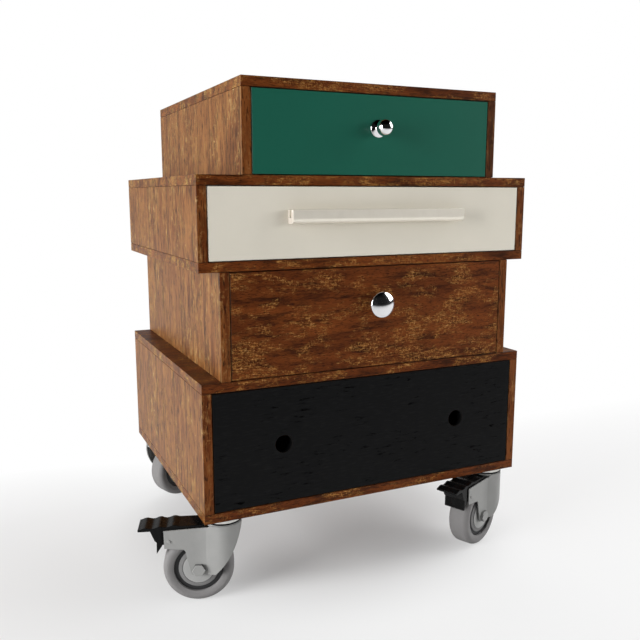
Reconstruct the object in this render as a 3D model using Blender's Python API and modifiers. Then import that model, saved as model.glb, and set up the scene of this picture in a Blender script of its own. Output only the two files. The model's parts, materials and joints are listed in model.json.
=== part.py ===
"""A rolling chest of drawers: four stacked boxes on four braked swivel casters.

The floor is z = 0, the drawer fronts face -Y and +X is the right-hand side seen from the front. The
origin is the middle of the outline's bounding box on the floor. Lengths are metres.
"""

import math
from collections import namedtuple

import bmesh
import bpy
from mathutils import Matrix, Vector

MM = 0.001
FULL_TURN = math.tau
HALF = 0.5

# Boxes, from the lowest up
CARCASS_DEPTH = 448 * MM
BOTTOM_BOX_WIDTH = 530 * MM
BOTTOM_BOX_HEIGHT = 199 * MM
LOWER_BOX_WIDTH = 473 * MM
LOWER_BOX_HEIGHT = 150 * MM
UPPER_BOX_WIDTH = BOTTOM_BOX_WIDTH
UPPER_BOX_HEIGHT = 127 * MM
TOP_BOX_WIDTH = 405 * MM
TOP_BOX_HEIGHT = 126 * MM

# Boards of the carcass
BOARD = 13.5 * MM
BACK_BOARD = 9 * MM
BOARD_ROUND = 0.35 * MM
JOINT_GAP = 0.3 * MM

# Drawers: a front flush with the carcass, and a box of thinner boards behind it
FRONT_GAP = 1.2 * MM
DRAWER_BOARD = 10 * MM
DRAWER_BOTTOM = 5 * MM
DRAWER_RUNNING_GAP = 0.3 * MM
DRAWER_SIDE_CLEARANCE = 1.6 * MM
DRAWER_BACK_CLEARANCE = 6 * MM
DRAWER_TOP_CLEARANCE = 14 * MM
DRAWER_BOTTOM_LIFT = 6 * MM

# Ball knob of the top drawer: a flared foot, a waist and a ball
BALL_RADIUS = 11.75 * MM
BALL_CENTRE = 19 * MM
BALL_FOOT_RADIUS = 12.4 * MM
BALL_FOOT_THICKNESS = 2 * MM
BALL_WAIST_RADIUS = 5.5 * MM
BALL_FLARE_SHARES = (0.3, 0.55, 0.8)
BALL_KNOB_HEIGHT_SHARE = 0.584

# Dome knob of the lower drawer: a foot, a stem and a domed disc
DOME_RADIUS = 19 * MM
DOME_RIM = 2.4 * MM
DOME_RISE = 7.5 * MM
DOME_STEM_RADIUS = 5.5 * MM
DOME_STEM_LENGTH = 15.4 * MM
DOME_FOOT_RADIUS = 7.5 * MM
DOME_FOOT_THICKNESS = 2 * MM
DOME_KNOB_HEIGHT_SHARE = 0.634

# Bar handle of the upper drawer: a straight bar with a finger groove along its top
HANDLE_LENGTH = 276 * MM
HANDLE_DEPTH = 18.5 * MM
HANDLE_HEIGHT = 19 * MM
HANDLE_NOSE_RADIUS = 8 * MM
HANDLE_BACK_WALL = 4 * MM
HANDLE_GROOVE_WIDTH = 7 * MM
HANDLE_GROOVE_DEPTH = 11 * MM
HANDLE_HEIGHT_SHARE = 0.582

# Finger holes of the bottom drawer
FINGER_HOLE_RADIUS = 13 * MM
FINGER_HOLE_SPACING = 293.4 * MM
FINGER_HOLE_HEIGHT_SHARE = 0.505

# Casters: what follows from the wheel scales with it
WHEEL_RADIUS = 50 * MM
CASTER_HEIGHT = 2.48 * WHEEL_RADIUS
AXIS_INSET_SIDE = 34.4 * MM
AXIS_INSET_DEPTH = 29.4 * MM
TRAIL = 0.699 * WHEEL_RADIUS
TYRE_WIDTH = 0.69 * WHEEL_RADIUS
TYRE_SHOULDER_RADIUS = 0.16 * WHEEL_RADIUS
TYRE_BORE_RADIUS = 0.7 * WHEEL_RADIUS
TYRE_BORE_WIDTH_SHARE = 0.95
SIDE_PLAY = 0.02 * WHEEL_RADIUS
RUNNING_CLEARANCE = 0.08 * MM

# Caster fork: a plate bent round the swivel axis, with a web, a turned head and a hex bolt as its axle
PLATE = 0.04 * WHEEL_RADIUS
FORK_BARREL_RADIUS = 0.54 * WHEEL_RADIUS
FORK_CHEEK_END = 0.494 * WHEEL_RADIUS
HEAD_TOP = 2.33 * WHEEL_RADIUS
HEAD_RIM = 0.05 * WHEEL_RADIUS
HEAD_BOTTOM = 2.08 * WHEEL_RADIUS
HEAD_RADIUS = FORK_BARREL_RADIUS - HALF * PLATE
HEAD_NECK_RADIUS = 0.34 * WHEEL_RADIUS
HEAD_CHAMFER = 0.016 * WHEEL_RADIUS
AXLE_RADIUS = 0.08 * WHEEL_RADIUS
HEX_ACROSS_CORNERS = 0.38 * WHEEL_RADIUS
HEX_THICKNESS = 0.1 * WHEEL_RADIUS

# Caster mount: a round plate under the box, a kingpin and the flange that holds the fork up
MOUNT_RADIUS = 0.53 * WHEEL_RADIUS
SWIVEL_GAP = 0.04 * WHEEL_RADIUS
KINGPIN_RADIUS = 0.12 * WHEEL_RADIUS
KINGPIN_FLANGE_RADIUS = 0.18 * WHEEL_RADIUS
KINGPIN_FLANGE = 0.054 * WHEEL_RADIUS
FLANGE_GAP = 0.006 * WHEEL_RADIUS

# Brake pedal: a ribbed tread in front of the fork, a tongue between its plates and a cross pin
PEDAL_WIDTH = 0.728 * WHEEL_RADIUS
PEDAL_REACH = 2.36 * WHEEL_RADIUS
PEDAL_TREAD_START = 1.7 * WHEEL_RADIUS
PEDAL_TONGUE_END = 0.4 * WHEEL_RADIUS
PEDAL_HEAD_CLEARANCE = 0.03 * WHEEL_RADIUS
PEDAL_TOP = 2.306 * WHEEL_RADIUS
PEDAL_SLOPE = 0.046
PEDAL_THICKNESS = 0.11 * WHEEL_RADIUS
PEDAL_PIN = Vector((1.506, 1.89)) * WHEEL_RADIUS
PEDAL_PIN_RADIUS = 0.05 * WHEEL_RADIUS
PEDAL_PIN_PROUD = 0.02 * WHEEL_RADIUS
PEDAL_BOSS_RADIUS = 0.12 * WHEEL_RADIUS
RIB_COUNT = 3
RIB_PITCH = 0.395 * WHEEL_RADIUS
RIB_HEIGHT = 0.042 * WHEEL_RADIUS
RIB_STEPS = 6

# Outlines as shares of the wheel radius, from the swivel axis and the floor
FORK_TOP_SHARES = ((1.648, 2.2), (0.418, 2.248), (0.36, 2.3), (-0.56, 2.3))
FORK_LEADING_EDGE_SHARES = ((-0.56, 2.3), (-0.414, 1.586), (-0.12, 1.202), (0.23, 0.84))
FORK_TRAILING_EDGE_SHARES = ((0.9, 0.84), (1.03, 1.43), (1.054, 1.56))
FORK_ARM_BOTTOM_SHARES = ((1.1, 1.616), (1.64, 1.676))
PEDAL_UNDERSIDE_SHARES = (
    (2.36, 2.192), (2.02, 2.192), (1.902, 1.9), (1.85, 1.856), (1.856, 1.518), (1.7, 1.746),
)
LEADING_EDGE_STEPS = 7

# Hub steps, from the bore out: radius as a share of the wheel radius, half width as a share of the tyre's
HUB_FACE_SHARES = ((0.446, 0.93), (0.57, 0.86), (1.0, 0.66))

WHEEL_SIDES = 32
SMALL_SIDES = 24
PIN_SIDES = 16
BARREL_STEPS = 12
BOSS_STEPS = 7
SHOULDER_STEPS = 4
DOME_STEPS = 6
BALL_STEPS = 10
FINGER_HOLE_SIDES = 32
NOSE_STEPS = 6
HEX_SIDES = 6
SMOOTH_ANGLE = 35
MERGE = 0.01 * MM
CUT_MARGIN = 2 * MM

Box = namedtuple("Box", "name drawer width height lid floor")
BOXES = (
    Box("bottom_box", "bottom_drawer", BOTTOM_BOX_WIDTH, BOTTOM_BOX_HEIGHT, True, True),
    Box("lower_box", "lower_drawer", LOWER_BOX_WIDTH, LOWER_BOX_HEIGHT, False, False),
    Box("upper_box", "upper_drawer", UPPER_BOX_WIDTH, UPPER_BOX_HEIGHT, True, True),
    Box("top_box", "top_drawer", TOP_BOX_WIDTH, TOP_BOX_HEIGHT, True, False),
)

# Each caster: its corner as signs of x and y, and the way its wheel trails, in degrees from +X
Caster = namedtuple("Caster", "name side end heading")
CASTERS = (
    Caster("front_left_caster", -1, -1, 162.1),
    Caster("front_right_caster", 1, -1, 203.2),
    Caster("back_left_caster", -1, 1, 19.4),
    Caster("back_right_caster", 1, 1, 342.1),
)

Paint = namedtuple("Paint", "colour roughness metallic")
PAINTS = {
    "walnut": Paint((0.135, 0.048, 0.018), 0.45, 0),
    "drawer_wood": Paint((0.45, 0.3, 0.17), 0.6, 0),
    "green_paint": Paint((0.014, 0.09, 0.06), 0.35, 0),
    "cream_paint": Paint((0.62, 0.58, 0.5), 0.35, 0),
    "black_paint": Paint((0.009, 0.01, 0.01), 0.4, 0),
    "chrome": Paint((0.8, 0.8, 0.8), 0.08, 1),
    "pressed_steel": Paint((0.42, 0.42, 0.4), 0.35, 0.3),
    "black_plastic": Paint((0.01, 0.01, 0.01), 0.4, 0),
    "hub_plastic": Paint((0.35, 0.35, 0.34), 0.45, 0),
    "grey_rubber": Paint((0.26, 0.25, 0.25), 0.6, 0),
}


def pedal_reach(end):
    """How far the pedals of the front (-1) or back (1) casters stand out past the carcass."""
    corners = []
    for caster in CASTERS:
        if caster.end == end:
            heading = math.radians(caster.heading)
            lengthwise = PEDAL_REACH * math.sin(heading) * end
            corners.append(lengthwise + HALF * PEDAL_WIDTH * abs(math.cos(heading)))
    return max(corners) - AXIS_INSET_DEPTH


def front_plane():
    """The y of the drawer fronts that centres the bounding box on the origin."""
    front_reach = max(BALL_CENTRE + BALL_RADIUS, pedal_reach(-1))
    return HALF * (front_reach - CARCASS_DEPTH - pedal_reach(1))


FRONT_Y = front_plane()
BACK_Y = FRONT_Y + CARCASS_DEPTH
PLATE_INSIDE = HALF * TYRE_WIDTH + SIDE_PLAY
PLATE_OUTSIDE = PLATE_INSIDE + PLATE
UPRIGHT = Matrix.Rotation(math.radians(90), 4, "X")


def clear_scene():
    """Remove whatever the opened file holds."""
    for item in list(bpy.data.objects):
        bpy.data.objects.remove(item, do_unlink=True)


def new_collection(name):
    """A collection linked to the scene."""
    collection = bpy.data.collections.new(name)
    bpy.context.scene.collection.children.link(collection)
    return collection


def new_material(name):
    """The Principled material of one of the paints."""
    paint = PAINTS[name]
    material = bpy.data.materials.new(name)
    material.use_nodes = True
    shader = material.node_tree.nodes["Principled BSDF"]
    shader.inputs["Base Color"].default_value = (*paint.colour, 1)
    shader.inputs["Roughness"].default_value = paint.roughness
    shader.inputs["Metallic"].default_value = paint.metallic
    return material


class Workshop:
    """Holds the collections and materials, and puts finished pieces in their places."""

    def __init__(self):
        self.parts = new_collection("rolling_chest")
        self.cutters = new_collection("cutters")
        self.materials = {name: new_material(name) for name in PAINTS}

    def place(self, name, mesh, paint, where=None, parent=None, smooth=True):
        """A named part from a mesh, at a matrix under a parent."""
        piece = bpy.data.objects.new(name, mesh)
        self.parts.objects.link(piece)
        piece.parent = parent
        piece.matrix_local = where or Matrix()
        if not mesh.materials:
            mesh.materials.append(self.materials[paint])
        if smooth:
            mesh.shade_smooth()
            mesh.set_sharp_from_angle(angle=math.radians(SMOOTH_ANGLE))
        return piece

    def empty(self, name, where):
        """A frame that carries moving pieces."""
        frame = bpy.data.objects.new(name, None)
        self.parts.objects.link(frame)
        frame.matrix_local = where
        return frame

    def helper(self, name, mesh):
        """A piece that only shapes others."""
        piece = bpy.data.objects.new(name, mesh)
        self.cutters.objects.link(piece)
        piece.hide_render = True
        piece.display_type = "WIRE"
        return piece

    def bake(self, piece):
        """The mesh that an object's modifiers make, with the object removed."""
        bpy.context.view_layer.update()
        graph = bpy.context.evaluated_depsgraph_get()
        mesh = bpy.data.meshes.new_from_object(piece.evaluated_get(graph))
        matrix = piece.matrix_world.copy()
        mesh.name = piece.name
        bpy.data.objects.remove(piece, do_unlink=True)
        body = bmesh.new()
        body.from_mesh(mesh)
        bmesh.ops.transform(body, matrix=matrix, verts=body.verts)
        bmesh.ops.remove_doubles(body, verts=body.verts, dist=MERGE)
        bmesh.ops.recalc_face_normals(body, faces=body.faces)
        body.to_mesh(mesh)
        body.free()
        return mesh


def block_mesh(name, size):
    """A box about its own centre."""
    body = bmesh.new()
    bmesh.ops.create_cube(body, size=1, matrix=Matrix.Diagonal((*size, 1)))
    mesh = bpy.data.meshes.new(name)
    body.to_mesh(mesh)
    body.free()
    return mesh


def board(shop, name, low, high, paint, parent=None, rounding=BOARD_ROUND):
    """A board between two corners, its origin at its middle."""
    low = Vector(low)
    high = Vector(high)
    where = Matrix.Translation((low + high) * HALF)
    piece = shop.place(name, block_mesh(name, high - low), paint, where, parent, smooth=False)
    if rounding:
        bevel = piece.modifiers.new("edges", "BEVEL")
        bevel.width = rounding
        bevel.segments = 1
    return piece


def turned(shop, name, profile, sides, closed=False):
    """A mesh turned about Z from points of radius and height, outer side running down."""
    mesh = bpy.data.meshes.new(name)
    points = [(radius, 0, height) for radius, height in profile]
    edges = [(i, i + 1) for i in range(len(points) - 1)]
    if closed:
        edges.append((len(points) - 1, 0))
    mesh.from_pydata(points, edges, [])
    piece = shop.helper(name, mesh)
    screw = piece.modifiers.new("turn", "SCREW")
    screw.steps = sides
    screw.render_steps = sides
    screw.angle = FULL_TURN
    screw.use_merge_vertices = True
    screw.merge_threshold = MERGE
    return shop.bake(piece)


def cut_sheet(shop, name, outline, width):
    """A flat outline in the X-Z plane, spread evenly along Y to a width."""
    curve = bpy.data.curves.new(name, "CURVE")
    curve.dimensions = "2D"
    curve.fill_mode = "BOTH"
    curve.extrude = HALF * width
    spline = curve.splines.new("POLY")
    spline.points.add(len(outline) - 1)
    for point, (across, up) in zip(spline.points, outline):
        point.co = (across, up, 0, 1)
    spline.use_cyclic_u = True
    piece = shop.helper(name, curve)
    piece.matrix_local = UPRIGHT
    return shop.bake(piece)


def rod_mesh(name, radius, length, sides, turn=0):
    """A bar along Y about the origin."""
    body = bmesh.new()
    lay = UPRIGHT @ Matrix.Rotation(turn, 4, "Z")
    bmesh.ops.create_cone(
        body, cap_ends=True, segments=sides, radius1=radius, radius2=radius, depth=length, matrix=lay
    )
    mesh = bpy.data.meshes.new(name)
    body.to_mesh(mesh)
    body.free()
    return mesh


def combine(shop, name, base, steps):
    """One mesh from a base mesh and steps of (operation, mesh, matrix)."""
    piece = shop.helper(name, base)
    tools = []
    for index, (operation, mesh, where) in enumerate(steps):
        tool = shop.helper(f"{name}_tool_{index}", mesh)
        tool.matrix_local = where
        tools.append(tool)
        cut = piece.modifiers.new(operation.lower(), "BOOLEAN")
        cut.operation = operation
        cut.object = tool
        cut.solver = "EXACT"
    mesh = shop.bake(piece)
    for tool in tools:
        bpy.data.objects.remove(tool, do_unlink=True)
    return mesh


def scaled(shares, size):
    """Points given as shares of a size."""
    return [(across * size, up * size) for across, up in shares]


def bezier(corners, steps):
    """Points along the cubic curve of four control points, both ends included."""
    start, leave, arrive, end = (Vector(corner) for corner in corners)
    points = []
    for step in range(steps + 1):
        t = step / steps
        s = 1 - t
        point = s**3 * start + 3 * s * s * t * leave + 3 * s * t * t * arrive + t**3 * end
        points.append(tuple(point))
    return points


def arc(centre, radius, start, end, steps):
    """Points on an arc, angles in degrees, both ends included."""
    points = []
    for step in range(steps + 1):
        angle = math.radians(start + (end - start) * step / steps)
        points.append((centre[0] + radius * math.cos(angle), centre[1] + radius * math.sin(angle)))
    return points


def build_box(shop, box, base):
    """The boards of one box; returns the low and high corners of its opening."""
    half = HALF * box.width
    low = base + (BOARD if box.floor else 0)
    high = base + box.height - (BOARD if box.lid else 0)
    if box.lid:
        board(shop, f"{box.name}_top", (-half, FRONT_Y, high), (half, BACK_Y, high + BOARD), "walnut")
    if box.floor:
        board(shop, f"{box.name}_floor", (-half, FRONT_Y, base), (half, BACK_Y, low), "walnut")
    for name, edge, inner in (("left", -half, BOARD - half), ("right", half, half - BOARD)):
        near = min(edge, inner)
        far = max(edge, inner)
        board(
            shop, f"{box.name}_{name}_side",
            (near, FRONT_Y, low + JOINT_GAP), (far, BACK_Y, high - JOINT_GAP), "walnut",
        )
    inside = half - BOARD
    board(
        shop, f"{box.name}_back",
        (JOINT_GAP - inside, BACK_Y - BACK_BOARD, low + JOINT_GAP),
        (inside - JOINT_GAP, BACK_Y, high - JOINT_GAP), "walnut",
    )
    return Vector((-inside, FRONT_Y, low)), Vector((inside, BACK_Y - BACK_BOARD, high))


def build_drawer(shop, name, low, high, paint):
    """A drawer in an opening; returns the empty that slides and its front board."""
    slide = shop.empty(f"{name}_slide", Matrix.Translation((0, FRONT_Y, low.z)))
    width = high.x - low.x
    front_low = Vector((FRONT_GAP - HALF * width, 0, FRONT_GAP))
    front_high = Vector((HALF * width - FRONT_GAP, BOARD, high.z - low.z - FRONT_GAP))
    front = board(shop, f"{name}_front", front_low, front_high, paint, slide)
    side = HALF * width - DRAWER_SIDE_CLEARANCE
    inner = side - DRAWER_BOARD
    start = BOARD + JOINT_GAP
    end = high.y - FRONT_Y - DRAWER_BACK_CLEARANCE
    base = DRAWER_RUNNING_GAP
    top = high.z - low.z - DRAWER_TOP_CLEARANCE
    for hand, near, far in (("left", -side, -inner), ("right", inner, side)):
        board(
            shop, f"{name}_{hand}_side", (near, start, base), (far, end, top),
            "drawer_wood", slide, 0,
        )
    gap_x = inner - JOINT_GAP
    board(
        shop, f"{name}_back", (-gap_x, end - DRAWER_BOARD, base), (gap_x, end, top),
        "drawer_wood", slide, 0,
    )
    floor = base + DRAWER_BOTTOM_LIFT
    board(
        shop, f"{name}_bottom",
        (-gap_x, start, floor), (gap_x, end - DRAWER_BOARD - JOINT_GAP, floor + DRAWER_BOTTOM),
        "drawer_wood", slide, 0,
    )
    return slide, front


def facing_front(across, height):
    """A place on a drawer front, under its empty, with local Z pointing out of the front."""
    return Matrix.Translation((across, -JOINT_GAP, height)) @ UPRIGHT


def build_ball_knob(shop, slide, height):
    """A turned knob: a flared foot, a waist and a ball."""
    centre = BALL_CENTRE - JOINT_GAP
    meet = math.degrees(math.asin(BALL_WAIST_RADIUS / BALL_RADIUS))
    ball = arc((0, centre), BALL_RADIUS, 90, meet - 90, BALL_STEPS)
    neck = centre - BALL_RADIUS * math.cos(math.radians(meet)) - BALL_FOOT_THICKNESS
    spread = BALL_FOOT_RADIUS - BALL_WAIST_RADIUS
    flare = [
        (BALL_WAIST_RADIUS + spread * share * share, BALL_FOOT_THICKNESS + neck * (1 - share))
        for share in BALL_FLARE_SHARES
    ]
    foot = [(BALL_FOOT_RADIUS, BALL_FOOT_THICKNESS), (BALL_FOOT_RADIUS, 0), (0, 0)]
    mesh = turned(shop, "ball_knob", [(0, centre + BALL_RADIUS)] + ball[1:] + flare + foot, SMALL_SIDES)
    shop.place("ball_knob", mesh, "chrome", facing_front(0, height), slide)


def build_dome_knob(shop, slide, height):
    """A turned knob: a foot, a stem and a domed disc."""
    rim = DOME_FOOT_THICKNESS + DOME_STEM_LENGTH
    crown = rim + DOME_RIM
    bow = (DOME_RADIUS**2 + DOME_RISE**2) / (2 * DOME_RISE)
    sweep = math.degrees(math.asin(DOME_RADIUS / bow))
    dome = arc((0, crown + DOME_RISE - bow), bow, 90, 90 - sweep, DOME_STEPS)
    profile = [(0, crown + DOME_RISE)] + dome[1:] + [
        (DOME_RADIUS, rim),
        (DOME_STEM_RADIUS, rim),
        (DOME_STEM_RADIUS, DOME_FOOT_THICKNESS),
        (DOME_FOOT_RADIUS, DOME_FOOT_THICKNESS),
        (DOME_FOOT_RADIUS, 0),
        (0, 0),
    ]
    mesh = turned(shop, "dome_knob", profile, SMALL_SIDES)
    shop.place("dome_knob", mesh, "chrome", facing_front(0, height), slide)


def build_bar_handle(shop, slide, height):
    """A bar with a round nose below and a finger groove along its top."""
    back = -JOINT_GAP
    front = -HANDLE_DEPTH
    top = HALF * HANDLE_HEIGHT
    bottom = -top
    groove_back = back - HANDLE_BACK_WALL
    groove_front = groove_back - HANDLE_GROOVE_WIDTH
    nose = (front + HANDLE_NOSE_RADIUS, bottom + HANDLE_NOSE_RADIUS)
    section = [
        (back, top),
        (back, bottom),
        *arc(nose, HANDLE_NOSE_RADIUS, 270, 180, NOSE_STEPS),
        (front, top),
        (groove_front, top),
        (groove_front, top - HANDLE_GROOVE_DEPTH),
        (groove_back, top - HANDLE_GROOVE_DEPTH),
        (groove_back, top),
    ]
    mesh = cut_sheet(shop, "bar_handle", section, HANDLE_LENGTH)
    turn = Matrix.Rotation(math.radians(90), 4, "Z")
    shop.place("bar_handle", mesh, "cream_paint", Matrix.Translation((0, 0, height)) @ turn, slide)


def cut_finger_holes(shop, front, height):
    """Two round holes through the bottom drawer's front."""
    for hand in (-1, 1):
        cutter = shop.helper(
            "finger_hole_cutter",
            rod_mesh("finger_hole", FINGER_HOLE_RADIUS, 2 * BOARD + CUT_MARGIN, FINGER_HOLE_SIDES),
        )
        cutter.matrix_local = Matrix.Translation((hand * HALF * FINGER_HOLE_SPACING, FRONT_Y, height))
        cut = front.modifiers.new("finger_hole", "BOOLEAN")
        cut.operation = "DIFFERENCE"
        cut.object = cutter
        cut.solver = "EXACT"


def barrel_path(inset):
    """The fork's cheeks and barrel seen from above, inset from the outer face of the plate."""
    side = PLATE_OUTSIDE - inset
    radius = FORK_BARREL_RADIUS - inset
    corner = math.atan2(side, FORK_CHEEK_END)
    turn = math.degrees(corner + math.acos(radius / math.hypot(side, FORK_CHEEK_END)))
    barrel = arc((0, 0), radius, turn, math.degrees(FULL_TURN) - turn, BARREL_STEPS)
    return [(FORK_CHEEK_END, side), *barrel, (FORK_CHEEK_END, -side)]


def web_mesh(low, high):
    """A flat plate that closes the fork's barrel between two heights."""
    body = bmesh.new()
    base = body.faces.new([body.verts.new((*point, low)) for point in barrel_path(HALF * PLATE)])
    raised = bmesh.ops.extrude_face_region(body, geom=[base])["geom"]
    tops = [item for item in raised if isinstance(item, bmesh.types.BMVert)]
    bmesh.ops.translate(body, vec=(0, 0, high - low), verts=tops)
    bmesh.ops.recalc_face_normals(body, faces=body.faces)
    mesh = bpy.data.meshes.new("fork_web")
    body.to_mesh(mesh)
    body.free()
    return mesh


def fork_mesh(shop):
    """The fork: a bent plate cut to the side outline, its web, its head and its axle bolt."""
    end = FORK_TOP_SHARES[0][0] * WHEEL_RADIUS + CUT_MARGIN
    low = FORK_LEADING_EDGE_SHARES[-1][1] * WHEEL_RADIUS - CUT_MARGIN
    high = FORK_TOP_SHARES[-1][1] * WHEEL_RADIUS + CUT_MARGIN
    path = [(end, PLATE_OUTSIDE), *barrel_path(0), (end, -PLATE_OUTSIDE)]
    body = bmesh.new()
    corners = [body.verts.new((*point, low)) for point in path]
    edges = [body.edges.new(pair) for pair in zip(corners, corners[1:])]
    raised = bmesh.ops.extrude_edge_only(body, edges=edges)["geom"]
    tops = [item for item in raised if isinstance(item, bmesh.types.BMVert)]
    bmesh.ops.translate(body, vec=(0, 0, high - low), verts=tops)
    mesh = bpy.data.meshes.new("fork_wall")
    body.to_mesh(mesh)
    body.free()
    wall = shop.helper("fork_wall", mesh)
    thicken = wall.modifiers.new("plate", "SOLIDIFY")
    thicken.thickness = PLATE
    thicken.offset = inward_offset(mesh)
    thicken.use_even_offset = True
    wall_mesh = shop.bake(wall)

    outline = (
        scaled(FORK_TOP_SHARES, WHEEL_RADIUS)
        + bezier(scaled(FORK_LEADING_EDGE_SHARES, WHEEL_RADIUS), LEADING_EDGE_STEPS)[1:]
        + scaled(FORK_TRAILING_EDGE_SHARES, WHEEL_RADIUS)
        + scaled(FORK_ARM_BOTTOM_SHARES, WHEEL_RADIUS)
    )
    side = cut_sheet(shop, "fork_outline", outline, 2 * FORK_BARREL_RADIUS + CUT_MARGIN)
    head_profile = [
        (0, HEAD_TOP),
        (HEAD_RADIUS - HEAD_CHAMFER, HEAD_TOP),
        (HEAD_RADIUS, HEAD_TOP - HEAD_CHAMFER),
        (HEAD_RADIUS, HEAD_TOP - HEAD_RIM),
        (HEAD_NECK_RADIUS, HEAD_BOTTOM),
        (0, HEAD_BOTTOM),
    ]
    head = turned(shop, "fork_head", head_profile, SMALL_SIDES)
    web_bottom = HEAD_BOTTOM + HALF * PLATE
    bore = rod_mesh("kingpin_bore", KINGPIN_RADIUS + RUNNING_CLEARANCE, 2 * HEAD_TOP, SMALL_SIDES)
    axle = rod_mesh("axle", AXLE_RADIUS, 2 * PLATE_OUTSIDE, PIN_SIDES)
    sunk = HALF * PLATE
    hexagon = rod_mesh(
        "axle_hex", HALF * HEX_ACROSS_CORNERS, HEX_THICKNESS + sunk, HEX_SIDES, math.radians(90)
    )
    hex_centre = PLATE_OUTSIDE + HALF * (HEX_THICKNESS - sunk)
    pin_hole = rod_mesh(
        "pin_hole", PEDAL_PIN_RADIUS + RUNNING_CLEARANCE, 2 * PLATE_OUTSIDE + CUT_MARGIN, PIN_SIDES
    )
    at_axle = Matrix.Translation((TRAIL, 0, WHEEL_RADIUS))
    steps = [
        ("INTERSECT", side, Matrix()),
        ("DIFFERENCE", pin_hole, Matrix.Translation((PEDAL_PIN.x, 0, PEDAL_PIN.y))),
        ("UNION", web_mesh(web_bottom, web_bottom + PLATE), Matrix()),
        ("UNION", head, Matrix()),
        ("DIFFERENCE", bore, Matrix.Translation((0, 0, HEAD_TOP)) @ UPRIGHT),
        ("UNION", axle, at_axle),
        ("UNION", hexagon, at_axle @ Matrix.Translation((0, hex_centre, 0))),
        ("UNION", hexagon, at_axle @ Matrix.Translation((0, -hex_centre, 0))),
    ]
    return combine(shop, "caster_fork", wall_mesh, steps)


def inward_offset(mesh):
    """The Solidify offset that thickens a bent wall towards its inside."""
    face = mesh.polygons[0]
    outward = face.normal.dot(Vector((0, face.center.y, 0))) > 0
    return -1 if outward else 1


def pedal_height(along):
    """The top of the pedal at a distance from the swivel axis, ribs included."""
    first = PEDAL_REACH - HALF * RIB_PITCH
    last = first - (RIB_COUNT - HALF) * RIB_PITCH
    base = PEDAL_TOP - max(along - last, 0) * PEDAL_SLOPE
    wave = HALF + HALF * math.cos(FULL_TURN * (first - along) / RIB_PITCH)
    return base + (RIB_HEIGHT * wave if along > last else 0)


def pedal_mesh(shop):
    """The pedal: a ribbed tread, a tongue between the plates and the pin they turn on."""
    length = RIB_COUNT * RIB_PITCH
    count = RIB_COUNT * RIB_STEPS
    ribs = [PEDAL_REACH - length * step / count for step in range(count + 1)]
    tread_tops = [(along, pedal_height(along)) for along in ribs if along > PEDAL_TREAD_START]
    tread = [(PEDAL_TREAD_START, pedal_height(PEDAL_TREAD_START)), *reversed(tread_tops)]
    tread += scaled(PEDAL_UNDERSIDE_SHARES, WHEEL_RADIUS)
    overlap = PEDAL_TREAD_START + CUT_MARGIN
    tongue_tops = [(along, pedal_height(along)) for along in ribs if along < overlap]
    under = PEDAL_TOP - PEDAL_THICKNESS
    boss = arc(PEDAL_PIN, PEDAL_BOSS_RADIUS, 200, 270, BOSS_STEPS)
    tongue = [(overlap, pedal_height(overlap)), *tongue_tops]
    tongue += [(PEDAL_TONGUE_END, PEDAL_TOP), (PEDAL_TONGUE_END, under)]
    tongue += [(PEDAL_PIN.x - 2 * PEDAL_BOSS_RADIUS, under), *boss, (overlap, boss[-1][1])]
    tread_mesh = cut_sheet(shop, "pedal_tread", tread, PEDAL_WIDTH)
    tongue_width = 2 * (PLATE_INSIDE - SIDE_PLAY)
    tongue_mesh = cut_sheet(shop, "pedal_tongue", tongue, tongue_width)
    pin = rod_mesh("pedal_pin", PEDAL_PIN_RADIUS, 2 * (PLATE_OUTSIDE + PEDAL_PIN_PROUD), PIN_SIDES)
    head_space = rod_mesh("head_space", FORK_BARREL_RADIUS + PEDAL_HEAD_CLEARANCE, HEAD_TOP, SMALL_SIDES)
    steps = [
        ("UNION", tongue_mesh, Matrix()),
        ("DIFFERENCE", head_space, Matrix.Translation((0, 0, HEAD_TOP)) @ UPRIGHT),
        ("UNION", pin, Matrix.Translation((PEDAL_PIN.x, 0, PEDAL_PIN.y))),
    ]
    mesh = combine(shop, "caster_pedal", tread_mesh, steps)
    mesh.transform(Matrix.Translation((-PEDAL_PIN.x, 0, -PEDAL_PIN.y)))
    return mesh


def hub_mesh(shop):
    """The wheel centre: stepped faces round the axle bore."""
    bore = AXLE_RADIUS + RUNNING_CLEARANCE
    rim = TYRE_BORE_RADIUS - JOINT_GAP
    inner = bore
    steps = []
    for radius_share, width_share in HUB_FACE_SHARES:
        outer = rim if radius_share == 1 else radius_share * WHEEL_RADIUS
        half = width_share * HALF * TYRE_WIDTH
        steps += [(inner, half), (outer, half)]
        inner = outer
    return turned(shop, "wheel_hub", steps + mirrored_down(steps), WHEEL_SIDES, closed=True)


def tyre_mesh(shop):
    """The tyre: a ring with round shoulders."""
    half = HALF * TYRE_WIDTH
    centre = (WHEEL_RADIUS - TYRE_SHOULDER_RADIUS, half - TYRE_SHOULDER_RADIUS)
    bore = [(TYRE_BORE_RADIUS, TYRE_BORE_WIDTH_SHARE * half)]
    shoulder = bore + arc(centre, TYRE_SHOULDER_RADIUS, 90, 0, SHOULDER_STEPS)
    return turned(shop, "tyre", shoulder + mirrored_down(shoulder), WHEEL_SIDES, closed=True)


def mirrored_down(upper):
    """The lower half of a section, from its outer end back to its inner end."""
    return [(radius, -height) for radius, height in reversed(upper)]


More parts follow.
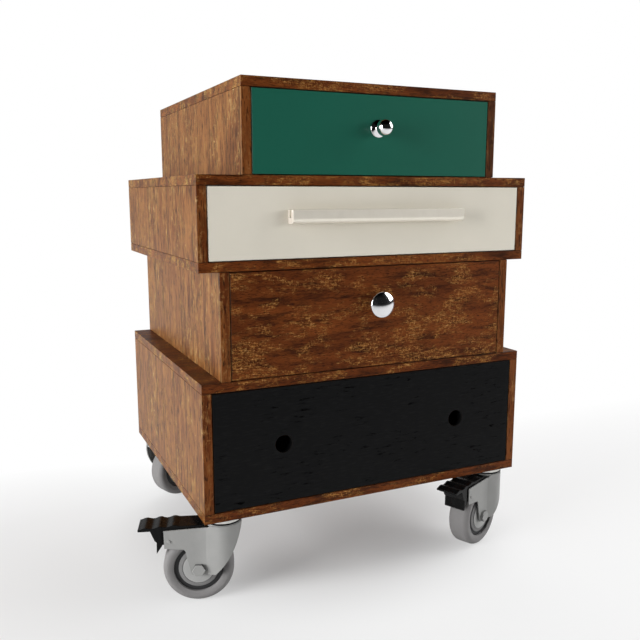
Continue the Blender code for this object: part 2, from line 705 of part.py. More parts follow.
def mount_mesh(shop):
    """The caster's mount: a round plate, the kingpin and its flange."""
    plate_top = CASTER_HEIGHT - JOINT_GAP
    plate_bottom = HEAD_TOP + SWIVEL_GAP
    flange_top = HEAD_BOTTOM - FLANGE_GAP
    flange_bottom = flange_top - KINGPIN_FLANGE
    profile = [
        (0, plate_top),
        (MOUNT_RADIUS, plate_top),
        (MOUNT_RADIUS, plate_bottom),
        (KINGPIN_RADIUS, plate_bottom),
        (KINGPIN_RADIUS, flange_top),
        (KINGPIN_FLANGE_RADIUS, flange_top),
        (KINGPIN_FLANGE_RADIUS, flange_bottom),
        (0, flange_bottom),
    ]
    return turned(shop, "caster_mount", profile, SMALL_SIDES)


def build_casters(shop):
    """Four casters, each turned to its own heading about its swivel axis."""
    fork = fork_mesh(shop)
    pedal = pedal_mesh(shop)
    hub = hub_mesh(shop)
    tyre = tyre_mesh(shop)
    mount = mount_mesh(shop)
    across = HALF * BOTTOM_BOX_WIDTH - AXIS_INSET_SIDE
    along = {-1: FRONT_Y + AXIS_INSET_DEPTH, 1: BACK_Y - AXIS_INSET_DEPTH}
    wheel_place = Matrix.Translation((TRAIL, 0, WHEEL_RADIUS)) @ UPRIGHT
    pin_place = Matrix.Translation((PEDAL_PIN.x, 0, PEDAL_PIN.y))
    for caster in CASTERS:
        axis = Matrix.Translation((caster.side * across, along[caster.end], 0))
        shop.place(f"{caster.name}_mount", mount, "pressed_steel", axis)
        turn = Matrix.Rotation(math.radians(caster.heading), 4, "Z")
        swivel = shop.empty(f"{caster.name}_swivel", axis @ turn)
        shop.place(f"{caster.name}_fork", fork, "pressed_steel", parent=swivel)
        shop.place(f"{caster.name}_hub", hub, "hub_plastic", wheel_place, swivel)
        shop.place(f"{caster.name}_tyre", tyre, "grey_rubber", wheel_place, swivel)
        shop.place(f"{caster.name}_pedal", pedal, "black_plastic", pin_place, swivel)


def build():
    """The whole chest, from the floor up."""
    clear_scene()
    shop = Workshop()
    build_casters(shop)
    base = CASTER_HEIGHT
    openings = {}
    for box in BOXES:
        openings[box.drawer] = build_box(shop, box, base)
        base += box.height
    paints = {
        "bottom_drawer": "black_paint",
        "lower_drawer": "walnut",
        "upper_drawer": "cream_paint",
        "top_drawer": "green_paint",
    }
    slides = {}
    for name, (low, high) in openings.items():
        slides[name] = build_drawer(shop, name, low, high, paints[name])
    spans = {box.drawer: openings[box.drawer][1].z - openings[box.drawer][0].z for box in BOXES}
    build_ball_knob(shop, slides["top_drawer"][0], BALL_KNOB_HEIGHT_SHARE * spans["top_drawer"])
    build_dome_knob(shop, slides["lower_drawer"][0], DOME_KNOB_HEIGHT_SHARE * spans["lower_drawer"])
    build_bar_handle(shop, slides["upper_drawer"][0], HANDLE_HEIGHT_SHARE * spans["upper_drawer"])
    hole_height = openings["bottom_drawer"][0].z + FINGER_HOLE_HEIGHT_SHARE * spans["bottom_drawer"]
    cut_finger_holes(shop, slides["bottom_drawer"][1], hole_height)
    bpy.context.view_layer.update()


build()
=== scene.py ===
"""A rolling chest of drawers, dressed for its studio picture.

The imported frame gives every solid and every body. This file gives the finishes, the finer metal and
moulded pieces, and the studio. Lengths are metres, +Z is up and the drawer fronts face -Y.
"""

import json
import logging
import math
from dataclasses import dataclass, field
from enum import Enum
from typing import Any, Callable, Iterable, Sequence

import bmesh
import bpy
from mathutils import Matrix, Vector


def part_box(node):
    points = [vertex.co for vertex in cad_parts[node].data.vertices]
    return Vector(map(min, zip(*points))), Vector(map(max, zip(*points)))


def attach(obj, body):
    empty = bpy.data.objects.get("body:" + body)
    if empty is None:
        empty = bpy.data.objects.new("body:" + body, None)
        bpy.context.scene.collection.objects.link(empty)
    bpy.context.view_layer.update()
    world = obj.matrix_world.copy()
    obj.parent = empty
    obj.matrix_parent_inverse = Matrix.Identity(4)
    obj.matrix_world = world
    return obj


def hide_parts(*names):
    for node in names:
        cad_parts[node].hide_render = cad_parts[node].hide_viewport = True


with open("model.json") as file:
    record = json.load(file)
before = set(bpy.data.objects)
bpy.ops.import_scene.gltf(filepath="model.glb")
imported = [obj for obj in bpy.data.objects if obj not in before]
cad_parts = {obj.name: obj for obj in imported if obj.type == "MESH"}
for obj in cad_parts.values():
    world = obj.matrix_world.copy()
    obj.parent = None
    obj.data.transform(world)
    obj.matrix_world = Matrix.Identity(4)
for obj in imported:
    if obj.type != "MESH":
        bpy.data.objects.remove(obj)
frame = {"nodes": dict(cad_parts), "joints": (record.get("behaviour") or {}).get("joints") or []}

LOG = logging.getLogger("rolling_chest")
MM = 0.001
HALF = 0.5
UPRIGHT = Matrix.Rotation(math.radians(90), 4, "X")
SMOOTH_ANGLE = math.radians(38)
BEVEL_ANGLE = math.radians(40)
MERGE_DISTANCE = 0.001 * MM
INWARDS = -1.0

Colour = tuple[float, float, float]
Place = tuple[float, float, float]
Point = tuple[float, float]
Span = tuple[float, float]
Stop = tuple[float, Colour]
Socket = bpy.types.NodeSocket

MATERIALS: dict[str, bpy.types.Material] = {}
MESHES: dict[str, bpy.types.Mesh] = {}

WHITE: Colour = (1.0, 1.0, 1.0)
BLACK: Colour = (0.0, 0.0, 0.0)


class Grain(Enum):
    """The way the grain of a board runs, as the squeeze of its pattern along each axis."""

    ACROSS = (0.16, 1.0, 1.0)
    DEPTH = (1.0, 0.16, 1.0)
    UPRIGHT = (1.0, 1.0, 0.16)


class Texture(Enum):
    """A noise's character: its finer layers, how strong these are and how far it is warped."""

    SMOOTH = (2.0, 0.5, 0.0)
    SOFT = (3.0, 0.5, 0.0)
    HAZY = (3.0, 0.55, 0.0)
    FIBROUS = (3.0, 0.6, 0.0)
    STROKED = (3.0, 0.65, 0.0)
    WOVEN = (4.0, 0.6, 0.0)
    LINED = (4.0, 0.65, 0.0)
    GRITTY = (4.0, 0.7, 0.0)
    CLOUDY = (4.0, 0.6, 0.6)
    BLOTCHY = (4.0, 0.62, 0.8)
    RINGED = (5.0, 0.65, 0.8)
    SCARRED = (5.0, 0.7, 0.5)
    STREAKY = (6.0, 0.7, 0.4)


class Coverage(Enum):
    """The kinds of rays that something is shown to."""

    CAMERA = "Is Camera Ray"
    GLOSSY = "Is Glossy Ray"
    TRANSMISSION = "Is Transmission Ray"


class Easing(Enum):
    """The way a value goes from one end of a range to the other."""

    EVEN = "LINEAR"
    SMOOTH = "SMOOTHSTEP"


class Blend(Enum):
    """The way one colour goes on another."""

    COVER = "MIX"
    TINT = "MULTIPLY"


class Axis(Enum):
    """The axes of an object."""

    X = "X"
    Y = "Y"
    Z = "Z"


# ---------------------------------------------------------------- finishes


class Nodes:
    """A node tree that is drawn step by step; each step returns the socket it ends in."""

    def __init__(self, tree: bpy.types.NodeTree) -> None:
        """Start from a tree."""
        self.tree = tree

    def add(self, kind: str, inputs: dict[Any, Any], **settings: Any) -> bpy.types.Node:
        """Add a node.

        Args:
            kind: The node's type.
            inputs: A value or a socket for each input, by name or number.
            settings: Properties of the node.

        Returns:
            The new node.
        """
        node = self.tree.nodes.new(kind)
        for key, value in settings.items():
            setattr(node, key, value)
        for key, value in inputs.items():
            if isinstance(value, Socket):
                self.tree.links.new(value, node.inputs[key])
            else:
                node.inputs[key].default_value = value
        return node

    def range(
        self, value: Any, low: float, high: float, to_low: float = 0.0, to_high: float = 1.0,
        easing: Easing = Easing.EVEN,
    ) -> Socket:
        """A value moved from one range to another and kept inside it.

        Args:
            value: The socket.
            low: The start of its range.
            high: The end of its range.
            to_low: What the start becomes.
            to_high: What the end becomes.
            easing: How it goes from one end to the other.

        Returns:
            The result socket.
        """
        inputs = {0: value, 1: low, 2: high, 3: to_low, 4: to_high}
        settings = {"clamp": True, "interpolation_type": easing.value}
        return self.add("ShaderNodeMapRange", inputs, **settings).outputs[0]

    def math(self, operation: str, first: Any, second: Any = 0.0) -> Socket:
        """One step of arithmetic on values or sockets."""
        inputs = {0: first, 1: second}
        return self.add("ShaderNodeMath", inputs, operation=operation).outputs[0]

    def times(self, first: Any, second: Any) -> Socket:
        """The product of two values or sockets."""
        return self.math("MULTIPLY", first, second)

    def axes(self, vector: Any) -> dict[Axis, Socket]:
        """The sockets of a vector's parts, in the order of the axes."""
        parts = self.add("ShaderNodeSeparateXYZ", {0: vector}).outputs
        return {axis: parts[axis.value] for axis in Axis}

    def shown_to(self, first: Coverage, *others: Coverage) -> Socket:
        """1 for rays of the kinds named, and else 0.

        Args:
            first: A kind of ray.
            others: Further kinds.

        Returns:
            The socket.
        """
        rays = self.add("ShaderNodeLightPath", {}).outputs
        total = rays[first.value]
        for kind in others:
            total = self.math("MAXIMUM", total, rays[kind.value])
        return total


class Sketch(Nodes):
    """The nodes of a material, which starts with a plain shader."""

    bevel_samples: int = 4
    edge_start: float = 0.995
    facing_span: Span = (0.6, 0.8)
    # where a mix node takes its share and its two colours, and where it gives the mixed one
    mix_inputs: tuple[int, int, int] = (0, 6, 7)
    mix_output: int = 2

    def __init__(self, name: str) -> None:
        """Start a material.

        Args:
            name: The material's name.
        """
        self.material = bpy.data.materials.new(name)
        self.material.use_nodes = True
        super().__init__(self.material.node_tree)
        self.shader = self.tree.nodes["Principled BSDF"]
        self.coordinates = self.add("ShaderNodeTexCoord", {}).outputs["Object"]

    def own_shift(self, reach: float) -> Socket:
        """A shift of the pattern that differs from object to object, up to a reach."""
        return self.times(self.add("ShaderNodeObjectInfo", {}).outputs["Random"], reach)

    def stretched(self, scale: Sequence[float], shift: Any = None) -> Socket:
        """The object's coordinates, scaled along each axis.

        Args:
            scale: A factor for each axis.
            shift: A socket that moves the pattern, or None.

        Returns:
            The vector socket.
        """
        start = self.coordinates
        if shift is not None:
            start = self.add("ShaderNodeVectorMath", {0: start, 1: shift}).outputs["Vector"]
        factors = {0: start, 1: tuple(scale)}
        return self.add("ShaderNodeVectorMath", factors, operation="MULTIPLY").outputs["Vector"]

    def noise(self, vector: Any, size: float, texture: Texture) -> Socket:
        """Soft noise.

        Args:
            vector: The coordinates.
            size: The size of its features in metres.
            texture: Its character.

        Returns:
            The factor socket.
        """
        inputs = {"Vector": vector, "Scale": 1 / size}
        inputs.update(zip(("Detail", "Roughness", "Distortion"), texture.value))
        return self.add("ShaderNodeTexNoise", inputs).outputs["Fac"]

    def ramp(self, value: Any, stops: Sequence[Stop]) -> Socket:
        """Colours along a value.

        Args:
            value: The socket that picks the colour.
            stops: Places and colours, from low to high.

        Returns:
            The colour socket.
        """
        node = self.add("ShaderNodeValToRGB", {0: value})
        elements = node.color_ramp.elements
        while len(elements) < len(stops):
            elements.new(1.0)
        for element, (place, colour) in zip(elements, stops):
            element.position = place
            element.color = (*colour, 1)
        return node.outputs["Color"]

    def mix(self, share: Any, first: Any, second: Any, blend: Blend = Blend.COVER) -> Socket:
        """Two colours mixed.

        Args:
            share: How much of the second.
            first: A colour or a socket.
            second: A colour or a socket.
            blend: The way they blend.

        Returns:
            The colour socket.
        """
        colours = [part if isinstance(part, Socket) else (*part, 1) for part in (first, second)]
        inputs = dict(zip(self.mix_inputs, (share, *colours)))
        node = self.add("ShaderNodeMix", inputs, data_type="RGBA", blend_type=blend.value)
        return node.outputs[self.mix_output]

    def edges(self, width: float, full: float) -> Socket:
        """How close a point is to an edge.

        Args:
            width: How far from an edge this reaches, in metres.
            full: How alike the plain and the rounded normal still are where it is full.

        Returns:
            A socket that is 0 on a face and nears 1 at an edge.
        """
        rounded = self.add("ShaderNodeBevel", {"Radius": width}, samples=self.bevel_samples)
        plain = self.add("ShaderNodeNewGeometry", {}).outputs["Normal"]
        inputs = {0: rounded.outputs["Normal"], 1: plain}
        likeness = self.add("ShaderNodeVectorMath", inputs, operation="DOT_PRODUCT")
        return self.range(likeness.outputs["Value"], self.edge_start, full)

    def facing(self, axis: Axis) -> Socket:
        """1 on faces that look along one of the object's axes and 0 on the others."""
        along = self.axes(self.add("ShaderNodeTexCoord", {}).outputs["Normal"])[axis]
        return self.range(self.math("ABSOLUTE", along), *self.facing_span)

    def feed(self, name: str, value: Any) -> None:
        """Give one of the shader's inputs what it needs.

        Args:
            name: The input's name.
            value: A value or a socket.
        """
        if isinstance(value, Socket):
            self.tree.links.new(value, self.shader.inputs[name])
        else:
            self.shader.inputs[name].default_value = value

    def paint(self, colour: Socket) -> None:
        """Give the shader its colour."""
        self.feed("Base Color", colour)

    def bump(self, height: Any, depth: float, strength: float) -> None:
        """Relief on the surface.

        Args:
            height: The socket that gives it.
            depth: Its depth in metres.
            strength: How strong it is.
        """
        inputs = {"Height": height, "Distance": depth, "Strength": strength}
        self.feed("Normal", self.add("ShaderNodeBump", inputs).outputs["Normal"])


@dataclass(frozen=True)
class Finish:
    """What every finish has."""

    name: str
    roughness: float = 0.5

    def material(self) -> bpy.types.Material:
        """The finish as a material.

        Returns:
            The material, which is made once and then used again.
        """
        if self.name not in MATERIALS:
            sketch = Sketch(f"{self.name}_finish")
            self.draw(sketch)
            MATERIALS[self.name] = sketch.material
        return MATERIALS[self.name]

    def draw(self, sketch: Sketch) -> None:
        """Draw the finish's nodes.

        Args:
            sketch: The new material.
        """
        raise NotImplementedError


@dataclass(frozen=True)
class MottledWood(Finish):
    """Dark stained wood, cloudy along its grain, with patches of worn golden flecks."""

    grain: Grain = Grain.UPRIGHT
    deep: Colour = (0.012, 0.0034, 0.0008)
    body: Colour = (0.087, 0.0208, 0.0042)
    warm: Colour = (0.145, 0.0370, 0.0072)
    gold: Colour = (0.335, 0.150, 0.036)
    fleck: Colour = (0.58, 0.36, 0.15)
    # painted sheen: a tint that pales and yellows the faces that look along X
    side_sheen_tint: Colour = (1.16, 1.56, 1.86)
    shift_reach: float = 7.3
    even_share: float = 0.35
    cloud_size: float = 28 * MM
    cloud_span: Span = (0.42, 0.6)
    shade_size: float = 12 * MM
    shade_span: Span = (0.5, 0.37)
    shade_share: float = 0.8
    patch_size: float = 26 * MM
    patch_start: float = 0.47
    patch_fade: float = 0.12
    fleck_size: float = 1.8 * MM
    run_span: Span = (0.49, 0.56)
    stroke_share: float = 0.9
    stroke_span: Span = (0.53, 0.6)
    cross: float = 0.2
    grit_span: Span = (0.42, 0.54)
    gold_share: float = 0.95
    bright_span: Span = (0.58, 0.7)
    bright_share: float = 0.75
    line_size: float = 2.4 * MM
    light_line_span: Span = (0.57, 0.66)
    dark_line_span: Span = (0.46, 0.34)
    line_share: float = 0.5
    plank: float = 0.0
    plank_spread: float = 0.7
    plank_tone_span: Span = (0.1, 0.9)
    plank_share: float = 0.35
    seam: Span = (0.02, 0.05)
    seam_span: Span = (0.4, 0.6)
    seam_shares: Span = (0.7, 0.25)
    pore_size: float = 1.1 * MM
    pore_span: Span = (0.34, 0.44)
    pore_share: float = 0.8
    # painted shade: a dark colour along the edges of faces that don't look along X, for the shade in
    # the gaps round the drawers
    edge_shade: Colour = (0.016, 0.0055, 0.0016)
    edge_shade_share: float = 0.8
    edge_shade_width: float = 1.3 * MM
    edge_shade_full: float = 0.94
    edge_shade_span: Span = (0.3, 0.6)
    gloss: float = 0.09
    worn_roughness: float = 0.14
    relief: float = 0.12 * MM
    relief_strength: float = 0.5
    worn_height: float = 0.4
    pore_height: float = 0.8

    def stain(self, sketch: Sketch, along: Any) -> Socket:
        """The stain's clouds and dark streaks.

        Args:
            sketch: The material.
            along: Coordinates that run with the grain.

        Returns:
            The colour socket.
        """
        clouds = sketch.noise(along, self.cloud_size, Texture.CLOUDY)
        colour = sketch.mix(sketch.range(clouds, *self.cloud_span), self.body, self.warm)
        shade = sketch.noise(along, self.shade_size, Texture.STREAKY)
        darker = sketch.range(shade, *self.shade_span, 0, self.shade_share)
        return sketch.mix(darker, colour, self.deep)

    def wear(self, sketch: Sketch, along: Any, even: Any, shift: Any, fine: Any) -> Socket:
        """Where the stain is worn off: fine marks with and across the grain, in patches.

        Args:
            sketch: The material.
            along: Coordinates that run with the grain.
            even: Coordinates that are only a little squeezed.
            shift: The socket that moves the pattern from board to board.
            fine: The noise of the flecks.

        Returns:
            A socket that is 1 where it is worn.
        """
        spots = sketch.noise(even, self.patch_size, Texture.BLOTCHY)
        patches = sketch.range(spots, self.patch_start, self.patch_start + self.patch_fade)
        squeeze = tuple(self.cross / max(share, self.cross) for share in self.grain.value)
        over = sketch.stretched(squeeze, shift)
        runs = sketch.noise(along, self.fleck_size, Texture.GRITTY)
        strokes = sketch.noise(over, self.stroke_share * self.fleck_size, Texture.STROKED)
        marks = sketch.math(
            "MAXIMUM", sketch.range(runs, *self.run_span), sketch.range(strokes, *self.stroke_span)
        )
        return sketch.times(patches, sketch.times(marks, sketch.range(fine, *self.grit_span)))

    def planks(self, sketch: Sketch, shift: Any, lines: Any, colour: Any) -> Socket:
        """Narrow planks side by side across a board's depth.

        Args:
            sketch: The material.
            shift: The socket that moves the planks from board to board.
            lines: The noise of the grain's lines.
            colour: The colour so far.

        Returns:
            The colour with each plank's tone and the seams between them.
        """
        depth = sketch.axes(sketch.coordinates)[Axis.Y]
        across = sketch.math("ADD", sketch.math("DIVIDE", depth, self.plank), shift)
        cell = {"W": across, "Scale": 1.0, "Randomness": self.plank_spread}
        tone, border = (
            sketch.add("ShaderNodeTexVoronoi", cell, voronoi_dimensions="1D", feature=feature)
            for feature in ("F1", "DISTANCE_TO_EDGE")
        )
        level = sketch.axes(tone.outputs["Color"])[Axis.X]
        warmer = sketch.range(level, *self.plank_tone_span, 0, self.plank_share)
        colour = sketch.mix(warmer, colour, self.warm)
        seam = sketch.range(border.outputs["Distance"], *self.seam, 1, 0)
        open_seam = sketch.range(lines, *self.seam_span, *self.seam_shares)
        return sketch.mix(sketch.times(seam, open_seam), colour, self.deep)

    def draw(self, sketch: Sketch) -> None:
        """Draw the finish's nodes.

        Args:
            sketch: The new material.
        """
        shift = sketch.own_shift(self.shift_reach)
        along = sketch.stretched(self.grain.value, shift)
        kept = self.even_share
        even = sketch.stretched([kept + (1 - kept) * share for share in self.grain.value], shift)
        fine = sketch.noise(even, self.fleck_size, Texture.GRITTY)

        colour = self.stain(sketch, along)
        worn = self.wear(sketch, along, even, shift, fine)
        colour = sketch.mix(sketch.times(worn, self.gold_share), colour, self.gold)
        bright = sketch.times(worn, sketch.range(fine, *self.bright_span))
        colour = sketch.mix(sketch.times(bright, self.bright_share), colour, self.fleck)
        lines = sketch.noise(along, self.line_size, Texture.LINED)
        light = sketch.range(lines, *self.light_line_span, 0, self.line_share)
        dark = sketch.range(lines, *self.dark_line_span, 0, self.line_share)
        colour = sketch.mix(dark, sketch.mix(light, colour, self.warm), self.deep)
        if self.plank:
            colour = self.planks(sketch, shift, lines, colour)

        # painted sheen: faces that look along X get the paler, yellower tint of a lit side
        aside = sketch.facing(Axis.X)
        sheen_tinted = sketch.mix(1.0, colour, self.side_sheen_tint, Blend.TINT)
        colour = sketch.mix(aside, colour, sheen_tinted)
        pores = sketch.noise(along, self.pore_size, Texture.SMOOTH)
        pores = sketch.range(pores, *self.pore_span, 1, 0)
        colour = sketch.mix(sketch.times(pores, self.pore_share), colour, self.deep)
        # painted shade along the edges, uneven in strength and kept off the side faces
        uneven = sketch.range(fine, *self.edge_shade_span, 0, self.edge_shade_share)
        shaded_edges = sketch.times(sketch.edges(self.edge_shade_width, self.edge_shade_full), uneven)
        shaded_edges = sketch.times(shaded_edges, sketch.math("SUBTRACT", 1.0, aside))
        sketch.paint(sketch.mix(shaded_edges, colour, self.edge_shade))
        sketch.feed("Specular IOR Level", self.gloss)
        dull = self.roughness + self.worn_roughness
        sketch.feed("Roughness", sketch.range(worn, 0, 1, self.roughness, dull))
        raised = sketch.times(worn, self.worn_height)
        height = sketch.math("SUBTRACT", raised, sketch.times(pores, self.pore_height))
        sketch.bump(height, self.relief, self.relief_strength)


@dataclass(frozen=True)
class SandedWood(Finish):
    """Pale unpainted wood with fine straight grain, for the drawers' boxes."""

    grain: Grain = Grain.DEPTH
    pale: Colour = (0.46, 0.31, 0.185)
    ring: Colour = (0.30, 0.18, 0.095)
    shift_reach: float = 3.1
    ring_size: float = 7 * MM
    ring_places: tuple[float, float, float] = (0.34, 0.52, 0.7)
    fibre_size: float = 0.9 * MM
    fibre_span: Span = (0.56, 0.7)
    fibre_share: float = 0.35
    rough_span: Span = (0.3, 0.7)
    rough_spread: float = 0.08
    relief: float = 0.06 * MM
    relief_strength: float = 0.5

    def draw(self, sketch: Sketch) -> None:
        """Draw the finish's nodes.

        Args:
            sketch: The new material.
        """
        along = sketch.stretched(self.grain.value, sketch.own_shift(self.shift_reach))
        rings = sketch.noise(along, self.ring_size, Texture.RINGED)
        colours = (self.ring, self.pale, self.pale)
        colour = sketch.ramp(rings, tuple(zip(self.ring_places, colours)))
        fibre = sketch.noise(along, self.fibre_size, Texture.FIBROUS)
        darker = sketch.range(fibre, *self.fibre_span, 0, self.fibre_share)
        sketch.paint(sketch.mix(darker, colour, self.ring))
        smooth, rough = self.roughness - self.rough_spread, self.roughness + self.rough_spread
        sketch.feed("Roughness", sketch.range(fibre, *self.rough_span, smooth, rough))
        sketch.bump(fibre, self.relief, self.relief_strength)


@dataclass(frozen=True)
class PaintedWood(Finish):
    """Satin paint on a board: nearly even, with faint grain under it and painted shade along its
    edges.
    """

    colour: Colour = WHITE
    worn: Colour = WHITE
    # painted shade: the dark colour along the edges, for the shade in the gaps round the drawer
    # fronts
    rim: Colour = (0.012, 0.006, 0.003)
    rim_shade_share: float = 0.85
    rim_shade_width: float = 0.7 * MM
    rim_shade_full: float = 0.96
    fibre_size: float = 2.4 * MM
    fibre_span: Span = (0.5, 0.75)
    grain_share: float = 0.1
    broad_size: float = 90 * MM
    broad_span: Span = (0.35, 0.7)
    broad_share: float = 0.35
    darker: float = 0.86
    dents: float = 0.0
    dent_size: float = 5 * MM
    dent_span: Span = (0.58, 0.63)
    dent_depth: float = 2.0
    cluster_size: float = 60 * MM
    cluster_span: Span = (0.46, 0.58)
    gloss: float = 0.15
    rough_span: Span = (0.3, 0.7)
    rough_spread: Span = (-0.04, 0.05)
    relief: float = 0.05 * MM
    relief_strength: float = 0.4

    def draw(self, sketch: Sketch) -> None:
        """Draw the finish's nodes.

        Args:
            sketch: The new material.
        """
        along = sketch.stretched(Grain.ACROSS.value)
        fibre = sketch.noise(along, self.fibre_size, Texture.WOVEN)
        broad = sketch.noise(sketch.coordinates, self.broad_size, Texture.SMOOTH)
        darker = tuple(self.darker * share for share in self.colour)
        uneven = sketch.range(broad, *self.broad_span, 0, self.broad_share)
        colour = sketch.mix(uneven, self.colour, darker)
        grain = sketch.range(fibre, *self.fibre_span, 0, self.grain_share)
        colour = sketch.mix(grain, colour, self.worn)
        height = fibre
        gloss: Any = self.gloss
        if self.dents:
            marks = sketch.noise(along, self.dent_size, Texture.SCARRED)
            groups = sketch.noise(sketch.coordinates, self.cluster_size, Texture.SMOOTH)
            clusters = sketch.range(groups, *self.cluster_span)
            scars = sketch.times(sketch.range(marks, *self.dent_span), clusters)
            colour = sketch.mix(sketch.times(scars, self.dents), colour, BLACK)
            gloss = sketch.range(scars, 0, 1, self.gloss, 0)
            height = sketch.math("SUBTRACT", fibre, sketch.times(scars, self.dent_depth))
        # painted shade along the edges
        rim = sketch.times(sketch.edges(self.rim_shade_width, self.rim_shade_full), self.rim_shade_share)
        sketch.paint(sketch.mix(rim, colour, self.rim))
        sketch.feed("Specular IOR Level", gloss)
        smooth, rough = (self.roughness + step for step in self.rough_spread)
        sketch.feed("Roughness", sketch.range(broad, *self.rough_span, smooth, rough))
        sketch.bump(height, self.relief, self.relief_strength)


@dataclass(frozen=True)
class Metal(Finish):
    """Plated or polished metal with fine handling marks."""

    colour: Colour = WHITE
    shade: Colour = WHITE
    metallic: float = 1.0
    cloud_size: float = 14 * MM
    cloud_span: Span = (0.35, 0.7)
    mark_size: float = 1.2 * MM
    mark_span: Span = (0.62, 0.72)
    mark_share: float = 0.25
    # painted shade: a tint that darkens the faces that look along Y, which on the handle are its ends
    end_shade_tint: Colour = WHITE
    gloss: float = 0.5
    rough_span: Span = (0.35, 0.7)
    spread: float = 0.03
    smoothest: float = 0.02
    relief: float = 0.01 * MM
    relief_strength: float = 0.3

    def draw(self, sketch: Sketch) -> None:
        """Draw the finish's nodes.

        Args:
            sketch: The new material.
        """
        cloud = sketch.noise(sketch.coordinates, self.cloud_size, Texture.SOFT)
        marks = sketch.noise(sketch.coordinates, self.mark_size, Texture.LINED)
        colour = sketch.mix(sketch.range(cloud, *self.cloud_span), self.colour, self.shade)
        handled = sketch.range(marks, *self.mark_span, 0, self.mark_share)
        colour = sketch.mix(handled, colour, self.shade)
        # painted shade on the faces that look along Y
        if self.end_shade_tint != WHITE:
            ends = sketch.mix(1.0, colour, self.end_shade_tint, Blend.TINT)
            colour = sketch.mix(sketch.facing(Axis.Y), colour, ends)
        sketch.paint(colour)
        sketch.feed("Metallic", self.metallic)
        sketch.feed("Specular IOR Level", self.gloss)
        smooth = max(self.roughness - self.spread, self.smoothest)
        rough = self.roughness + self.spread
        sketch.feed("Roughness", sketch.range(marks, *self.rough_span, smooth, rough))
        sketch.bump(marks, self.relief, self.relief_strength)


@dataclass(frozen=True)
class Moulded(Finish):
    """Moulded plastic or rubber: fine grain, slight cloudiness and scuffed edges."""

    colour: Colour = WHITE
    scuff: Colour = WHITE
    cloud_size: float = 11 * MM
    cloud_span: Span = (0.4, 0.72)
    cloud_share: float = 0.3
    grain_size: float = 0.6 * MM
    grain_span: Span = (0.4, 0.6)
    edge_width: float = 0.7 * MM
    edge_full: float = 0.8
    edge_share: float = 0.3
    gloss: float = 0.3
    rough_span: Span = (0.3, 0.7)
    rough_spread: Span = (-0.05, 0.06)
    relief: float = 0.03 * MM
    relief_strength: float = 0.35

    def draw(self, sketch: Sketch) -> None:
        """Draw the finish's nodes.

        Args:
            sketch: The new material.
        """
        cloud = sketch.noise(sketch.coordinates, self.cloud_size, Texture.HAZY)
        grain = sketch.noise(sketch.coordinates, self.grain_size, Texture.SMOOTH)
        dusty = sketch.range(cloud, *self.cloud_span, 0, self.cloud_share)
        colour = sketch.mix(dusty, self.colour, self.scuff)
        edges = sketch.edges(self.edge_width, self.edge_full)
        scuffed = sketch.times(edges, sketch.range(grain, *self.grain_span))
        sketch.paint(sketch.mix(sketch.times(scuffed, self.edge_share), colour, self.scuff))
        sketch.feed("Specular IOR Level", self.gloss)
        smooth, rough = (self.roughness + step for step in self.rough_spread)
        sketch.feed("Roughness", sketch.range(cloud, *self.rough_span, smooth, rough))
        sketch.bump(grain, self.relief, self.relief_strength)


WOOD_UPRIGHT = MottledWood(
    "wood_upright_grain", 0.42, Grain.UPRIGHT, warm=(0.165, 0.050, 0.0115),
    gold=(0.225, 0.098, 0.03), fleck=(0.40, 0.24, 0.10), cloud_size=15 * MM,
    shade_size=14 * MM, patch_size=45 * MM, fleck_size=6 * MM, line_size=9 * MM,
    pore_size=2.4 * MM, cross=0.8, gold_share=0.9, shade_share=0.3, line_share=0.35,
    patch_start=0.42, patch_fade=0.16, plank=62 * MM,
)
WOOD_ACROSS = MottledWood("wood_across_grain", 0.42, Grain.ACROSS)
# the lower drawer's front, with stronger painted shade along its edges for the gaps round it
WOOD_FRONT = MottledWood(
    "wood_drawer_front", 0.42, Grain.ACROSS, edge_shade=(0.003, 0.0011, 0.0004), edge_shade_share=1.0,
    edge_shade_width=1.5 * MM, edge_shade_full=0.96, edge_shade_span=(0.2, 0.6),
)
DRAWER_BOARD = SandedWood("drawer_board", 0.6, Grain.DEPTH)
DRAWER_CROSS_BOARD = SandedWood("drawer_cross_board", 0.6, Grain.ACROSS)
GREEN_PAINT = PaintedWood(
    "green_paint", 0.38, colour=(0.0095, 0.0925, 0.0605), worn=(0.018, 0.115, 0.08),
    grain_share=0.12,
)
CREAM_PAINT = PaintedWood(
    "cream_paint", 0.4, colour=(0.68, 0.64, 0.55), worn=(0.60, 0.56, 0.47), grain_share=0.08
)
BLACK_PAINT = PaintedWood(
    "black_paint", 0.42, colour=(0.0048, 0.0050, 0.0052), worn=(0.0125, 0.0125, 0.0125),
    grain_share=0.55, dents=0.85, relief=0.14 * MM, gloss=0.06,
)
CREAM_METAL = Metal(
    "cream_metal", 0.33, colour=(0.88, 0.825, 0.72), shade=(0.85, 0.795, 0.69), metallic=0.42,
    end_shade_tint=(0.76, 0.74, 0.76),
)
CHROME = Metal("chrome", 0.04, colour=(0.86, 0.86, 0.87), shade=(0.8, 0.8, 0.81), spread=0.015)
SATIN_CHROME = Metal("satin_chrome", 0.15, colour=(0.8, 0.8, 0.81), shade=(0.74, 0.74, 0.75))
BURNISHED_STEEL = Metal(
    "burnished_steel", 0.22, colour=(0.42, 0.42, 0.42), shade=(0.34, 0.34, 0.34)
)
ZINC_PLATE = Metal(
    "zinc_plate", 0.45, colour=(0.254, 0.254, 0.247), shade=(0.243, 0.243, 0.237), metallic=0.0,
    gloss=0.2,
)
RING_PLATE = Metal(
    "ring_plate", 0.34, colour=(0.72, 0.71, 0.68), shade=(0.66, 0.65, 0.62), metallic=0.2
)
BLACK_PLASTIC = Moulded(
    "black_plastic", 0.27, colour=(0.0025, 0.0025, 0.0026), scuff=(0.0095, 0.0095, 0.0095),
    gloss=0.11,
)
